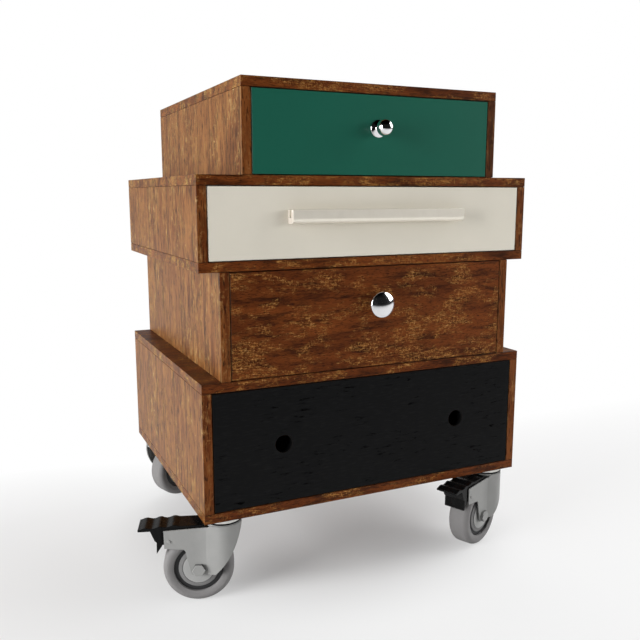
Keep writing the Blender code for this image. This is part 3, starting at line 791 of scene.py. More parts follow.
DARK_RING = Moulded("dark_ring", 0.5, colour=(0.017, 0.017, 0.018), scuff=(0.035, 0.035, 0.035))
HUB_PLASTIC = Moulded("hub_plastic", 0.45, colour=(0.29, 0.29, 0.284), scuff=(0.26, 0.26, 0.255))
HUB_RIM = Moulded(
    "hub_rim", 0.5, colour=(0.16, 0.158, 0.157), scuff=(0.145, 0.143, 0.142), gloss=0.15
)
GLUE = Moulded("glue", 0.8, colour=(0.012, 0.0045, 0.0016), scuff=(0.012, 0.0045, 0.0016))
GREY_RUBBER = Moulded(
    "grey_rubber", 0.65, colour=(0.178, 0.173, 0.172), scuff=(0.155, 0.151, 0.15), relief=0.05 * MM,
    gloss=0.12,
)


# ---------------------------------------------------------------- making and placing


def dress(node: str, finish: Finish) -> None:
    """Give a solid of the frame its finish.

    Args:
        node: The solid's name.
        finish: What it gets.
    """
    solid = frame["nodes"][node]
    for held in solid.material_slots:
        held.material = finish.material()
    LOG.info("%s: %s", node, finish.name)


def joint_place(name: str) -> Vector:
    """Where a joint of the frame sits."""
    places = {joint["name"]: joint.get("pos_m") for joint in frame["joints"]}
    return Vector(places[name])


def knob_place(low: Vector, high: Vector) -> Matrix:
    """The place of a knob that is turned about Z and stands on a front, from its solid's box."""
    return Matrix.Translation((HALF * (low.x + high.x), high.y, HALF * (low.z + high.z))) @ UPRIGHT


def new_mesh(name: str, body: bmesh.types.BMesh) -> bpy.types.Mesh:
    """A mesh with clean outward faces.

    Args:
        name: The mesh's name.
        body: The faces, which are used up.

    Returns:
        The mesh.
    """
    bmesh.ops.remove_doubles(body, verts=body.verts, dist=MERGE_DISTANCE)
    bmesh.ops.recalc_face_normals(body, faces=body.faces)
    mesh = bpy.data.meshes.new(name)
    body.to_mesh(mesh)
    body.free()
    return mesh


def turned(
    name: str, profile: Sequence[Point], sides: int, closed: bool = False
) -> bpy.types.Mesh:
    """A section turned about Z.

    Args:
        name: The mesh's name.
        profile: Points of radius and height; an open one starts and ends on the axis.
        sides: How many steps a full turn takes.
        closed: Whether the last point joins the first.

    Returns:
        The mesh.
    """
    body = bmesh.new()
    angles = [math.tau * step / sides for step in range(sides)]
    rings = []
    for radius, height in profile:
        around = angles if radius else [0.0]
        rings.append(
            [body.verts.new((radius * math.cos(a), radius * math.sin(a), height)) for a in around]
        )
    pairs = list(zip(rings, rings[1:]))
    if closed:
        pairs.append((rings[-1], rings[0]))
    for upper, lower in pairs:
        for step in range(sides):
            after = (step + 1) % sides
            corners = [upper[step % len(upper)], upper[after % len(upper)]]
            corners += [lower[after % len(lower)], lower[step % len(lower)]]
            unique = list(dict.fromkeys(corners))
            if len(unique) > 2:
                body.faces.new(unique)
    return new_mesh(name, body)


def spread(name: str, outline: Sequence[Point], width: float) -> bpy.types.Mesh:
    """A flat outline in the X-Z plane, spread evenly along Y.

    Args:
        name: The mesh's name.
        outline: Its corners in order.
        width: Its whole width.

    Returns:
        The mesh.
    """
    body = bmesh.new()
    near = [body.verts.new((across, -HALF * width, up)) for across, up in outline]
    far = [body.verts.new((across, HALF * width, up)) for across, up in outline]
    body.faces.new(near)
    body.faces.new(list(reversed(far)))
    for index in range(len(outline)):
        after = (index + 1) % len(outline)
        body.faces.new((near[after], near[index], far[index], far[after]))
    return new_mesh(name, body)


def arc(centre: Point, radius: float, start: float, end: float, steps: int) -> list[Point]:
    """Points on an arc, both ends included.

    Args:
        centre: Its centre.
        radius: Its radius.
        start: The first angle in degrees.
        end: The last angle in degrees.
        steps: How many parts it has.

    Returns:
        The points.
    """
    points = []
    for step in range(steps + 1):
        angle = math.radians(start + (end - start) * step / steps)
        points.append((centre[0] + radius * math.cos(angle), centre[1] + radius * math.sin(angle)))
    return points


def bezier(corners: Sequence[Point], steps: int) -> list[Point]:
    """Points on a cubic curve, both ends included.

    Args:
        corners: Its four control points.
        steps: How many parts it has.

    Returns:
        The points.
    """
    start, leave, arrive, end = (Vector(corner) for corner in corners)
    points = []
    for step in range(steps + 1):
        t = step / steps
        s = 1 - t
        point = s**3 * start + 3 * s * s * t * leave + 3 * s * t * t * arrive + t**3 * end
        points.append((point.x, point.y))
    return points


def height_on(line: Sequence[Point], along: float) -> float:
    """The height of a line of points at a place along it.

    Args:
        line: Points whose first numbers fall from one to the next.
        along: The place.

    Returns:
        The height there.
    """
    for (x0, z0), (x1, z1) in zip(line, line[1:]):
        if x1 <= along <= x0:
            share = 0.0 if x0 == x1 else (x0 - along) / (x0 - x1)
            return z0 + (z1 - z0) * share
    return line[0][1] if along > line[0][0] else line[-1][1]


@dataclass
class Piece:
    """One shown piece: its mesh, its place, the body it rides on and what it stands for."""

    name: str
    mesh: bpy.types.Mesh
    finish: Finish
    body: str
    slot: str
    place: Matrix = field(default_factory=Matrix)
    stands_for: str | None = None
    bevel: float = 0.0
    bevel_steps: int = 2
    plate: float = 0.0

    def build(self) -> None:
        """Make the object, put it in place, hang it on its body and hide the solid it stands for."""
        made = bpy.data.objects.new(self.name, self.mesh)
        bpy.context.scene.collection.objects.link(made)
        if not self.mesh.materials:
            self.mesh.materials.append(self.finish.material())
        self.mesh.shade_smooth()
        self.mesh.set_sharp_from_angle(angle=SMOOTH_ANGLE)
        if self.plate:
            thicken = made.modifiers.new("plate", "SOLIDIFY")
            thicken.thickness = self.plate
            thicken.offset = INWARDS
            thicken.use_even_offset = True
        if self.bevel:
            edges = made.modifiers.new("edges", "BEVEL")
            edges.width = self.bevel
            edges.segments = self.bevel_steps
            edges.limit_method = "ANGLE"
            edges.angle_limit = BEVEL_ANGLE
            edges.harden_normals = True
        made.matrix_world = self.place
        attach(made, self.body)
        if self.stands_for:
            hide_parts(self.stands_for)
        LOG.info("%s rides on %s", self.name, self.body)


# ---------------------------------------------------------------- carcass and drawers


@dataclass
class Carcass:
    """The four stacked boxes, which keep the frame's boards."""

    boxes: tuple[str, ...] = ("bottom_box", "lower_box", "upper_box", "top_box")
    lying: tuple[str, ...] = ("top", "floor")
    standing: tuple[str, ...] = ("left_side", "right_side")
    joint: float = 0.3 * MM
    play: float = 0.02 * MM
    inset: float = 1.5 * MM

    def dress(self) -> None:
        """Give every board its grain."""
        for box in self.boxes:
            for board in self.lying + ("back",):
                if f"{box}_{board}" in frame["nodes"]:
                    dress(f"{box}_{board}", WOOD_ACROSS)
            for board in self.standing:
                dress(f"{box}_{board}", WOOD_UPRIGHT)

    def glue(self) -> None:
        """Fill the joints above and below the upright boards, so that no light shows through."""
        body = bmesh.new()
        for box in self.boxes:
            for board in self.standing + ("back",):
                low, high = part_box(f"{box}_{board}")
                middle = HALF * (low + high)
                size = high - low - Vector((2 * self.inset, 2 * self.inset, 0))
                size.z = self.joint - 2 * self.play
                for level in (low.z - HALF * self.joint, high.z + HALF * self.joint):
                    place = Matrix.Translation((middle.x, middle.y, level))
                    place @= Matrix.Diagonal((*size, 1))
                    bmesh.ops.create_cube(body, size=1.0, matrix=place)
        Piece("glue_lines", new_mesh("glue_lines", body), GLUE, "carcass", "walnut").build()


@dataclass
class Drawer:
    """One drawer: its front and the box of boards behind it."""

    name: str
    front: Finish

    def dress(self) -> None:
        """Give the front its finish and the boards theirs."""
        dress(f"{self.name}_front", self.front)
        for board in ("left_side", "right_side", "bottom"):
            dress(f"{self.name}_{board}", DRAWER_BOARD)
        dress(f"{self.name}_back", DRAWER_CROSS_BOARD)


@dataclass
class BallKnob:
    """The top drawer's knob: a flared foot, a waist and a ball."""

    node: str = "ball_knob"
    body: str = "top_drawer"
    ball_radius: float = 11.75 * MM
    foot_radius: float = 12.4 * MM
    foot_thickness: float = 2 * MM
    waist_radius: float = 5.5 * MM
    sides: int = 96
    ball_steps: int = 40
    flare_steps: int = 14
    rim_steps: int = 8

    def build(self) -> None:
        """Turn the knob and put it on its drawer."""
        low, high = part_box(self.node)
        centre = high.y - low.y - self.ball_radius
        meet = math.degrees(math.asin(self.waist_radius / self.ball_radius))
        ball = arc((0, centre), self.ball_radius, 90, meet - 90, self.ball_steps)
        ball[0] = (0, ball[0][1])
        neck = centre - self.ball_radius * math.cos(math.radians(meet)) - self.foot_thickness
        spare = self.foot_radius - self.waist_radius
        flare = []
        for step in range(1, self.flare_steps):
            share = step / self.flare_steps
            radius = self.waist_radius + spare * share * share
            flare.append((radius, self.foot_thickness + neck * (1 - share)))
        edge = HALF * self.foot_thickness
        rim = arc((self.foot_radius - edge, edge), edge, 90, -90, self.rim_steps)
        mesh = turned(self.node, ball + flare + rim + [(0, 0)], self.sides)
        Piece(
            f"{self.node}_polished", mesh, CHROME, self.body, "chrome", knob_place(low, high),
            self.node,
        ).build()


@dataclass
class DomeKnob:
    """The lower drawer's knob: a foot, a stem and a domed disc."""

    node: str = "dome_knob"
    body: str = "lower_drawer"
    radius: float = 19 * MM
    rim: float = 2.4 * MM
    rise: float = 7.5 * MM
    edge: float = 2.1 * MM
    stem_radius: float = 5.5 * MM
    cove: float = 1.6 * MM
    foot_radius: float = 7.5 * MM
    foot_thickness: float = 2 * MM
    foot_edge: float = 0.7 * MM
    sides: int = 96
    dome_steps: int = 28
    roll_steps: int = 16
    cove_steps: int = 6
    foot_steps: int = 5

    def build(self) -> None:
        """Turn the knob and put it on its drawer."""
        low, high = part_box(self.node)
        length = high.y - low.y
        under = length - self.rise - self.rim
        span = self.radius - self.edge
        up = self.rise + self.rim - self.edge
        bow = (span**2 + up**2 - self.edge**2) / (2 * (up - self.edge))
        sweep = math.degrees(math.asin(span / (bow - self.edge)))
        profile = [(0, length)]
        profile += arc((0, length - bow), bow, 90, 90 - sweep, self.dome_steps)[1:-1]
        profile += arc((span, under + self.edge), self.edge, 90 - sweep, -90, self.roll_steps)
        middle = (self.stem_radius + self.cove, under - self.cove)
        profile += arc(middle, self.cove, 90, 180, self.cove_steps)
        profile.append((self.stem_radius, self.foot_thickness))
        middle = (self.foot_radius - self.foot_edge, self.foot_thickness - self.foot_edge)
        profile += arc(middle, self.foot_edge, 90, 0, self.foot_steps)
        profile += [(self.foot_radius, 0), (0, 0)]
        mesh = turned(self.node, profile, self.sides)
        Piece(
            f"{self.node}_polished", mesh, SATIN_CHROME, self.body, "chrome",
            knob_place(low, high), self.node,
        ).build()


@dataclass
class BarHandle:
    """The upper drawer's straight handle: a round nose below and a finger groove along its top."""

    node: str = "bar_handle"
    body: str = "upper_drawer"
    nose: float = 8 * MM
    back_wall: float = 4 * MM
    groove_width: float = 7 * MM
    groove_depth: float = 11 * MM
    lip: float = 0.9 * MM
    cove: float = 2.2 * MM
    end_edge: float = 0.25 * MM
    nose_steps: int = 24
    round_steps: int = 6

    def build(self) -> None:
        """Draw the handle's section, spread it and put it on its drawer."""
        low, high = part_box(self.node)
        depth = high.y - low.y
        height = high.z - low.z
        groove_back = depth - self.back_wall
        groove_front = groove_back - self.groove_width
        crest = height - self.lip
        bed = height - self.groove_depth + self.cove
        section = [(depth, height), (depth, 0.0)]
        section += arc((self.nose, self.nose), self.nose, 270, 180, self.nose_steps)
        for across, up, radius, start, end in (
            (self.lip, crest, self.lip, 180, 90),
            (groove_front - self.lip, crest, self.lip, 90, 0),
            (groove_front + self.cove, bed, self.cove, 180, 270),
            (groove_back - self.cove, bed, self.cove, 270, 360),
            (groove_back + self.lip, crest, self.lip, 180, 90),
        ):
            section += arc((across, up), radius, start, end, self.round_steps)
        mesh = spread(self.node, section, high.x - low.x)
        turn = Matrix.Rotation(math.radians(90), 4, "Z")
        place = Matrix.Translation((HALF * (low.x + high.x), low.y, low.z)) @ turn
        Piece(
            f"{self.node}_satin", mesh, CREAM_METAL, self.body, "cream_metal", place, self.node,
            bevel=self.end_edge,
        ).build()


# ---------------------------------------------------------------- casters


@dataclass(frozen=True)
class CasterSizes:
    """The sizes all four casters share.

    Plain numbers are shares of the wheel's radius, and levels are shares of half the tyre's width.
    Small roundings, plays and chamfers are lengths, and ring_lean and boss_start are degrees.
    """

    wheel: float = 50 * MM
    trail: float = 0.699
    plate: float = 0.04
    side_play: float = 0.02
    # mount
    mount_radius: float = 0.53
    mount_edge: float = 0.5 * MM
    mount_groove: tuple[Point, ...] = (
        (2.2 * MM, 0.0), (2.6 * MM, 0.5 * MM), (4.4 * MM, 0.5 * MM), (4.8 * MM, 0.0),
    )
    swivel_gap: float = 0.04
    kingpin: float = 0.12
    flange: float = 0.18
    flange_thickness: float = 0.054
    flange_play: float = 0.3 * MM
    flange_edge: float = 0.4 * MM
    flange_chamfer: float = 0.5 * MM
    dimple: Span = (0.06, 0.05)
    dimple_depth: float = 0.4 * MM
    # a dark band in the swivel gap: painted shade
    gap_shade_radius: float = 0.536
    gap_shade_bore: float = 0.46
    gap_shade_play: float = 0.25 * MM
    gap_shade_overlap: float = 0.6 * MM
    # fork
    barrel: float = 0.54
    cheek_end: float = 0.494
    top_edge: tuple[Point, ...] = ((1.648, 2.2), (0.418, 2.248), (0.36, 2.3), (-0.56, 2.3))
    leading_edge: tuple[Point, ...] = (
        (-0.56, 2.3), (-0.414, 1.586), (-0.12, 1.202), (0.23, 0.84),
    )
    trailing_edge: tuple[Point, ...] = (
        (1.64, 1.676), (1.1, 1.616), (1.054, 1.56), (1.03, 1.43),
    )
    cheek_bottom: Point = (0.9, 0.84)
    foot_cut: float = 3.2 * MM
    plate_edge: float = 0.35 * MM
    head_top: float = 2.33
    head_rim: float = 0.05
    head_edge: float = 0.8 * MM
    head_bottom: float = 2.08
    head_neck: float = 0.34
    head_play: float = 0.004
    neck_flare: float = 0.05
    neck_rise: float = 1.2 * MM
    web_inset: float = 0.3 * MM
    web_rise: float = 0.06
    web_overlap: float = 0.02
    # bolt
    axle: float = 0.08
    hexagon: float = 0.38
    hexagon_thickness: float = 0.1
    hexagon_chamfer: Span = (0.7 * MM, 0.5 * MM)
    hexagon_edge: float = 0.15 * MM
    # wheel
    tyre_width: float = 0.69
    tyre_bore: float = 0.7
    tyre_level: float = 0.95
    tyre_lip: float = 0.5 * MM
    shoulder: float = 0.16
    hub_play: float = 0.08 * MM
    hub_edge: float = 0.35 * MM
    hub_disc: float = 0.446
    hub_groove: float = 0.7 * MM
    hub_ring: float = 0.57
    ring_lean: float = 75.0
    hub_fit: float = 0.3 * MM
    disc_level: float = 0.93
    groove_level: float = 0.78
    crest_level: float = 0.88
    slope_level: float = 0.83
    shelf_level: float = 0.66
    dark_levels: Span = (0.655, 0.74)
    dark_play: float = 0.1 * MM
    # pedal
    pedal_width: float = 0.728
    pedal_reach: float = 2.36
    pedal_top: float = 2.306
    pedal_slope: float = 0.046
    pedal_thickness: float = 0.11
    tread_start: float = 1.7
    tread_edge: float = 0.45 * MM
    tread_under: tuple[Point, ...] = (
        (2.36, 2.192), (2.02, 2.192), (1.902, 1.9), (1.85, 1.856), (1.856, 1.518), (1.7, 1.746),
    )
    ribs: int = 3
    rib_pitch: float = 0.395
    rib_height: float = 0.042
    tongue_end: float = 0.572
    tongue_overlap: float = 0.04
    tongue_edge: float = 0.4 * MM
    boss: float = 0.12
    boss_start: float = 200.0
    pin: Point = (1.506, 1.89)
    pin_radius: float = 0.05
    pin_proud: float = 0.02
    pin_edge: float = 0.4 * MM

    def scaled(self, points: Iterable[Point]) -> list[Point]:
        """Shares of the wheel's radius as lengths."""
        return [(across * self.wheel, up * self.wheel) for across, up in points]

    @property
    def inside(self) -> float:
        """Half the space between the fork's plates."""
        return (HALF * self.tyre_width + self.side_play) * self.wheel

    @property
    def outside(self) -> float:
        """Half the fork's width over its plates."""
        return self.inside + self.plate * self.wheel


@dataclass
class Caster:
    """A braked swivel caster: mount, fork, wheel and pedal, drawn along its own heading."""

    corner: str
    sizes: CasterSizes
    sides: int = 96
    pin_sides: int = 32
    edge_steps: int = 4
    head_steps: int = 5
    leading_steps: int = 30
    foot_steps: int = 6
    barrel_steps: int = 44
    flank_steps: int = 9
    shoulder_steps: int = 12
    rib_steps: int = 20
    boss_steps: int = 10
    tread_edge_steps: int = 3
    place: Matrix = field(init=False)

    def __post_init__(self) -> None:
        """Find the caster's place and heading in the frame."""
        swivel = joint_place(f"{self.corner}_swivel")
        axle = joint_place(f"{self.corner}_wheel_spin")
        heading = math.atan2(axle.y - swivel.y, axle.x - swivel.x)
        foot = Matrix.Translation((swivel.x, swivel.y, 0))
        self.place = foot @ Matrix.Rotation(heading, 4, "Z")

    @property
    def node(self) -> str:
        """What the names of the caster's solids and pieces start with, and its fork's body."""
        return f"{self.corner}_caster"

    def shared(
        self, name: str, make: Callable[..., bpy.types.Mesh], *sizes: Any
    ) -> bpy.types.Mesh:
        """A mesh that all casters share.

        Args:
            name: Its name.
            make: What makes it, from its name and its sizes.
            sizes: The sizes.

        Returns:
            The mesh, made by the first caster that asks for it.
        """
        if name not in MESHES:
            MESHES[name] = make(name, *sizes)
        return MESHES[name]

    def show(
        self, part: str, mesh: bpy.types.Mesh, finish: Finish, body: str, slot: str,
        place: Matrix | None = None, solid: str | None = None, **edges: Any,
    ) -> None:
        """Show one piece of the caster.

        Args:
            part: What it is, which its name ends in.
            mesh: Its mesh.
            finish: Its finish.
            body: The body it rides on.
            slot: The name of a material slot, which is not used.
            place: Its place, or None for the caster's own.
            solid: The caster's solid it stands for, or None.
            edges: The piece's bevel and plate.
        """
        Piece(
            f"{self.node}_{part}", mesh, finish, body, slot,
            self.place if place is None else place,
            None if solid is None else f"{self.node}_{solid}", **edges,
        ).build()

    def build(self) -> None:
        """Build all its pieces."""
        self.build_mount()
        self.build_fork()
        self.build_bolt()
        self.build_wheel()
        self.build_pedal()

    def build_mount(self) -> None:
        """The ring plate under the box and the kingpin in it."""
        s = self.sizes
        r = s.wheel
        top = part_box(f"{self.node}_mount")[1].z
        low = (s.head_top + s.swivel_gap) * r
        radius = s.mount_radius * r
        inner = radius - s.mount_edge
        profile = [(0, top), (inner, top)]
        profile += arc((inner, top - s.mount_edge), s.mount_edge, 90, 0, self.edge_steps)[1:]
        profile += arc((inner, low + s.mount_edge), s.mount_edge, 0, -90, self.edge_steps)
        profile += [(radius - inwards, low + up) for inwards, up in s.mount_groove]
        flange = s.flange * r
        flange_top = s.head_bottom * r - s.flange_play
        flange_low = flange_top - s.flange_thickness * r
        dimple_top = flange_low + s.dimple_depth
        profile += [
            (s.kingpin * r, low), (s.kingpin * r, flange_top),
            (flange - s.flange_edge, flange_top), (flange, flange_top - s.flange_edge),
            (flange, flange_low + s.flange_chamfer), (flange - s.flange_chamfer, flange_low),
            (s.dimple[0] * r, flange_low), (s.dimple[1] * r, dimple_top), (0, dimple_top),
        ]
        mesh = self.shared("mount_ring", turned, profile, self.sides)
        self.show("ring_plate", mesh, RING_PLATE, "carcass", "pressed_steel", solid="mount")
        # painted shade: a dark band that fills the swivel gap under the ring plate
        gap_shade_low = s.head_top * r + s.gap_shade_play
        gap_shade_top = low + s.gap_shade_overlap
        gap_shade = [(s.gap_shade_bore * r, gap_shade_top), (s.gap_shade_radius * r, gap_shade_top)]
        gap_shade += [(s.gap_shade_radius * r, gap_shade_low), (s.gap_shade_bore * r, gap_shade_low)]
        band = self.shared("swivel_seal", turned, gap_shade, self.sides, True)
        self.show("swivel_seal", band, BLACK_PLASTIC, "carcass", "black_plastic")

    def cheek_lines(self) -> tuple[list[Point], list[Point]]:
        """The fork's upper and lower edges seen from the side, both running inwards.

        Returns:
            The upper and the lower line.
        """
        s = self.sizes
        leading = bezier(s.scaled(s.leading_edge), self.leading_steps)
        trailing = s.scaled(s.trailing_edge)
        corner = s.scaled([s.cheek_bottom])[0]
        before = Vector(trailing[-1]) - Vector(corner)
        after = Vector(leading[-1]) - Vector(corner)
        start = Vector(corner) + before.normalized() * s.foot_cut
        end = Vector(corner) + after.normalized() * s.foot_cut
        foot = bezier((tuple(start), corner, corner, tuple(end)), self.foot_steps)
        return s.scaled(s.top_edge), trailing + foot + list(reversed(leading))

    def plan(self) -> list[Point]:
        """The fork's outer face seen from above, from one arm round the barrel to the other.

        Returns:
            The line's points.
        """
        s = self.sizes
        r = s.wheel
        upper, lower = self.cheek_lines()
        cheek = s.cheek_end * r
        end = s.trailing_edge[0][0] * r - MERGE_DISTANCE
        bends = {x for x, _ in upper + lower if cheek < x < end}
        side = s.outside
        radius = s.barrel * r
        corner = math.atan2(side, cheek)
        turn = math.degrees(corner + math.acos(radius / math.hypot(side, cheek)))
        round_part = arc((0, 0), radius, turn, 360 - turn, self.barrel_steps)
        x, y = round_part[0]
        arm = [(bend, side) for bend in sorted(bends, reverse=True)] + [(cheek, side)]
        for step in range(1, self.flank_steps):
            share = step / self.flank_steps
            arm.append((cheek + (x - cheek) * share, side + (y - side) * share))
        return arm + round_part + [(x, -y) for x, y in reversed(arm)]

    def wall_mesh(self, name: str) -> bpy.types.Mesh:
        """The bent plate of the fork, one face thick, before it gets its thickness.

        Args:
            name: The mesh's name.

        Returns:
            The mesh.
        """
        s = self.sizes
        upper, lower = self.cheek_lines()
        ends = s.scaled((s.top_edge[0], s.trailing_edge[0]))
        body = bmesh.new()
        first, last = (
            [body.verts.new((x, side, z)) for x, z in ends] for side in (s.outside, -s.outside)
        )
        stations = [first]
        for x, y in self.plan():
            high = height_on(upper, x)
            low = min(height_on(lower, x), high)
            stations.append([body.verts.new((x, y, z)) for z in (high, low)])
        stations.append(last)
        for (top, low), (next_top, next_low) in zip(stations, stations[1:]):
            body.faces.new((low, next_low, next_top, top))
        mesh = bpy.data.meshes.new(name)
        body.to_mesh(mesh)
        body.free()
        return mesh

    def build_fork(self) -> None:
        """The bent plate, the turned head and the web between them."""
        s = self.sizes
        r = s.wheel
        body, slot = self.node, "pressed_steel"
        wall = self.shared("fork_wall", self.wall_mesh)
        self.show(
            "fork_plate", wall, ZINC_PLATE, body, slot, solid="fork", bevel=s.plate_edge,
            plate=s.plate * r,
        )
        radius = (s.barrel - HALF * s.plate) * r
        top = s.head_top * r
        low = s.head_bottom * r
        bore = (s.kingpin + s.head_play) * r
        inner = radius - s.head_edge
        profile = [(bore, top), (inner, top)]
        profile += arc((inner, top - s.head_edge), s.head_edge, 90, 0, self.head_steps)[1:]
        profile += [
            (radius, top - s.head_rim * r), ((s.head_neck + s.neck_flare) * r, low + s.neck_rise),
            (s.head_neck * r, low), (bore, low),
        ]
        head = self.shared("fork_head", turned, profile, self.sides, True)
        self.show("fork_head", head, ZINC_PLATE, body, slot)
        inset = radius - s.web_inset
        web_top = low + s.web_rise * r
        web_low = web_top - s.plate * r
        neck = (s.head_neck - s.web_overlap) * r
        profile = [(neck, web_top), (inset, web_top), (inset, web_low), (neck, web_low)]
        web = self.shared("fork_web", turned, profile, self.sides, True)
        self.show("fork_web", web, ZINC_PLATE, body, slot)

    def nut_mesh(self, name: str) -> bpy.types.Mesh:
        """A hexagonal nut along Z with chamfered corners, burnished sides and plated end faces.

        Args:
            name: The mesh's name.

        Returns:
            The mesh.
        """
        s = self.sizes
        across = HALF * s.hexagon * s.wheel
        thick = s.hexagon_thickness * s.wheel
        inwards, down = s.hexagon_chamfer
        body = bmesh.new()
        angles = [math.radians(60 * corner) for corner in range(6)]
        rings = []
        for radius, height in ((across, 0.0), (across, thick - down), (across - inwards, thick)):
            places = [(radius * math.cos(a), radius * math.sin(a), height) for a in angles]
            rings.append([body.verts.new(place) for place in places])
        body.faces.new(list(reversed(rings[0])))
        for lower, upper in zip(rings, rings[1:]):
            for corner in range(6):
                after = (corner + 1) % 6
                body.faces.new((lower[corner], lower[after], upper[after], upper[corner]))
        body.faces.new(rings[-1])
        mesh = new_mesh(name, body)
        mesh.materials.append(ZINC_PLATE.material())
        mesh.materials.append(BURNISHED_STEEL.material())
        for face in mesh.polygons:
            face.material_index = int(abs(face.normal.z) < HALF)
        return mesh

    def build_bolt(self) -> None:
        """The axle, with its hexagonal head and nut."""
        s = self.sizes
        r = s.wheel
        radius = s.axle * r
        half = s.outside
        profile = [(0, half), (radius, half), (radius, -half), (0, -half)]
        axle = self.shared("axle_bolt", turned, profile, self.pin_sides)
        at_axle = self.place @ Matrix.Translation((s.trail * r, 0, r))
        body, slot = self.node, "pressed_steel"
        self.show("axle", axle, ZINC_PLATE, body, slot, at_axle @ UPRIGHT)
        nut = self.shared("axle_nut", self.nut_mesh)
        for side, turn in (("left", -90), ("right", 90)):
            out = Matrix.Rotation(math.radians(turn), 4, "X")
            shift = Matrix.Translation((0, math.copysign(half, -turn), 0))
            place = at_axle @ shift @ out
            self.show(f"{side}_nut", nut, ZINC_PLATE, body, slot, place, bevel=s.hexagon_edge)

    def build_wheel(self) -> None:
        """The hub with its steps, the dark ring in it and the tyre."""
        s = self.sizes
        r = s.wheel
        half = HALF * s.tyre_width * r
        edge = s.hub_edge
        disc = s.hub_disc * r
        ring = s.hub_ring * r
        crest = disc + s.hub_groove
        rim = s.tyre_bore * r - s.hub_fit
        face = s.disc_level * half
        upper: list[Point] = [(s.axle * r + s.hub_play, face)]
        upper += arc((disc - edge, face - edge), edge, 90, 0, self.edge_steps)
        upper += [(disc, s.groove_level * half), (crest, s.groove_level * half)]
        crest_middle = (crest + edge, s.crest_level * half - edge)
        upper += arc(crest_middle, edge, 180, s.ring_lean, self.edge_steps)
        slope_middle = (ring - edge, s.slope_level * half - edge)
        upper += arc(slope_middle, edge, s.ring_lean, 0, self.edge_steps)
        upper += [(ring, s.shelf_level * half), (rim, s.shelf_level * half)]
        lower = [(x, -z) for x, z in reversed(upper)]
        hub = self.shared("hub_steps", turned, upper + lower, self.sides, True)
        if not hub.materials:
            hub.materials.append(HUB_PLASTIC.material())
            hub.materials.append(HUB_RIM.material())
            for part in hub.polygons:
                part.material_index = int(math.hypot(part.center.x, part.center.y) > crest)
        place = self.place @ Matrix.Translation((s.trail * r, 0, r)) @ UPRIGHT
        body = f"{self.corner}_wheel"
        self.show("hub_steps", hub, HUB_PLASTIC, body, "hub_plastic", place, "hub")
        bore = ring + s.dark_play
        for name, side in (("left", 1), ("right", -1)):
            near, far = (side * level * half for level in s.dark_levels)
            section = [(bore, near), (bore, far), (rim, far), (rim, near)]
            band = self.shared(f"dark_ring_{name}", turned, section, self.sides, True)
            self.show(f"{name}_dark_ring", band, DARK_RING, body, "black_plastic", place)
        turn = s.shoulder * r
        inner = s.tyre_bore * r
        wall = s.tyre_level * half
        section = [(inner, wall - s.tyre_lip), (inner + s.tyre_lip, wall)]
        section += arc((r - turn, half - turn), turn, 90, 0, self.shoulder_steps)
        section += [(x, -z) for x, z in reversed(section)]
        tyre = self.shared("tyre_tread", turned, section, 2 * self.sides, True)
        self.show("tyre_tread", tyre, GREY_RUBBER, body, "grey_rubber", place, "tyre")

    def tread_height(self, along: float) -> float:
        """The top of the pedal, its ribs included.

        Args:
            along: The distance from the swivel axis.

        Returns:
            The height there.
        """
        s = self.sizes
        first = s.pedal_reach - HALF * s.rib_pitch
        last = first - (s.ribs - HALF) * s.rib_pitch
        base = s.pedal_top - max(along - last, 0) * s.pedal_slope
        wave = HALF + HALF * math.cos(math.tau * (first - along) / s.rib_pitch)
        return base + (s.rib_height * wave if along > last else 0)

    def build_pedal(self) -> None:
        """The ribbed tread, the tongue under the box and the pin they turn on."""
        s = self.sizes
        r = s.wheel
        body, slot = f"{self.corner}_pedal", "black_plastic"
        steps = self.rib_steps * s.ribs
        length = s.ribs * s.rib_pitch
        places = [s.pedal_reach - length * step / steps for step in range(steps + 1)]
        ribs = [(along, self.tread_height(along)) for along in places]
        outline = [(s.tread_start, self.tread_height(s.tread_start))]
        outline += [point for point in reversed(ribs) if point[0] > s.tread_start]
        outline += list(s.tread_under)
        tread = self.shared("pedal_tread", spread, s.scaled(outline), s.pedal_width * r)
        self.show(
            "tread", tread, BLACK_PLASTIC, body, slot, solid="pedal", bevel=s.tread_edge,
            bevel_steps=self.tread_edge_steps,
        )
        overlap = s.tread_start + s.tongue_overlap
        under = s.pedal_top - s.pedal_thickness
        boss = arc(s.pin, s.boss, s.boss_start, 270, self.boss_steps)
        outline = [(overlap, self.tread_height(overlap))]
        outline += [point for point in ribs if point[0] < overlap]
        outline += [(s.tongue_end, s.pedal_top), (s.tongue_end, under)]
        outline += [(s.pin[0] - 2 * s.boss, under)] + boss + [(overlap, boss[-1][1])]
        width = 2 * (s.inside - s.side_play * r)
        tongue = self.shared("pedal_tongue", spread, s.scaled(outline), width)
        self.show("tongue", tongue, BLACK_PLASTIC, body, slot, bevel=s.tongue_edge)
        half = s.outside + s.pin_proud * r
        radius = s.pin_radius * r
        edge = s.pin_edge
        profile = [(0, half), (radius - edge, half), (radius, half - edge)]
        profile += [(radius, edge - half), (radius - edge, -half), (0, -half)]
        pin = self.shared("pedal_pin", turned, profile, self.pin_sides)
        place = self.place @ Matrix.Translation((s.pin[0] * r, 0, s.pin[1] * r)) @ UPRIGHT
        self.show("pin", pin, ZINC_PLATE, body, slot, place)


# ---------------------------------------------------------------- studio


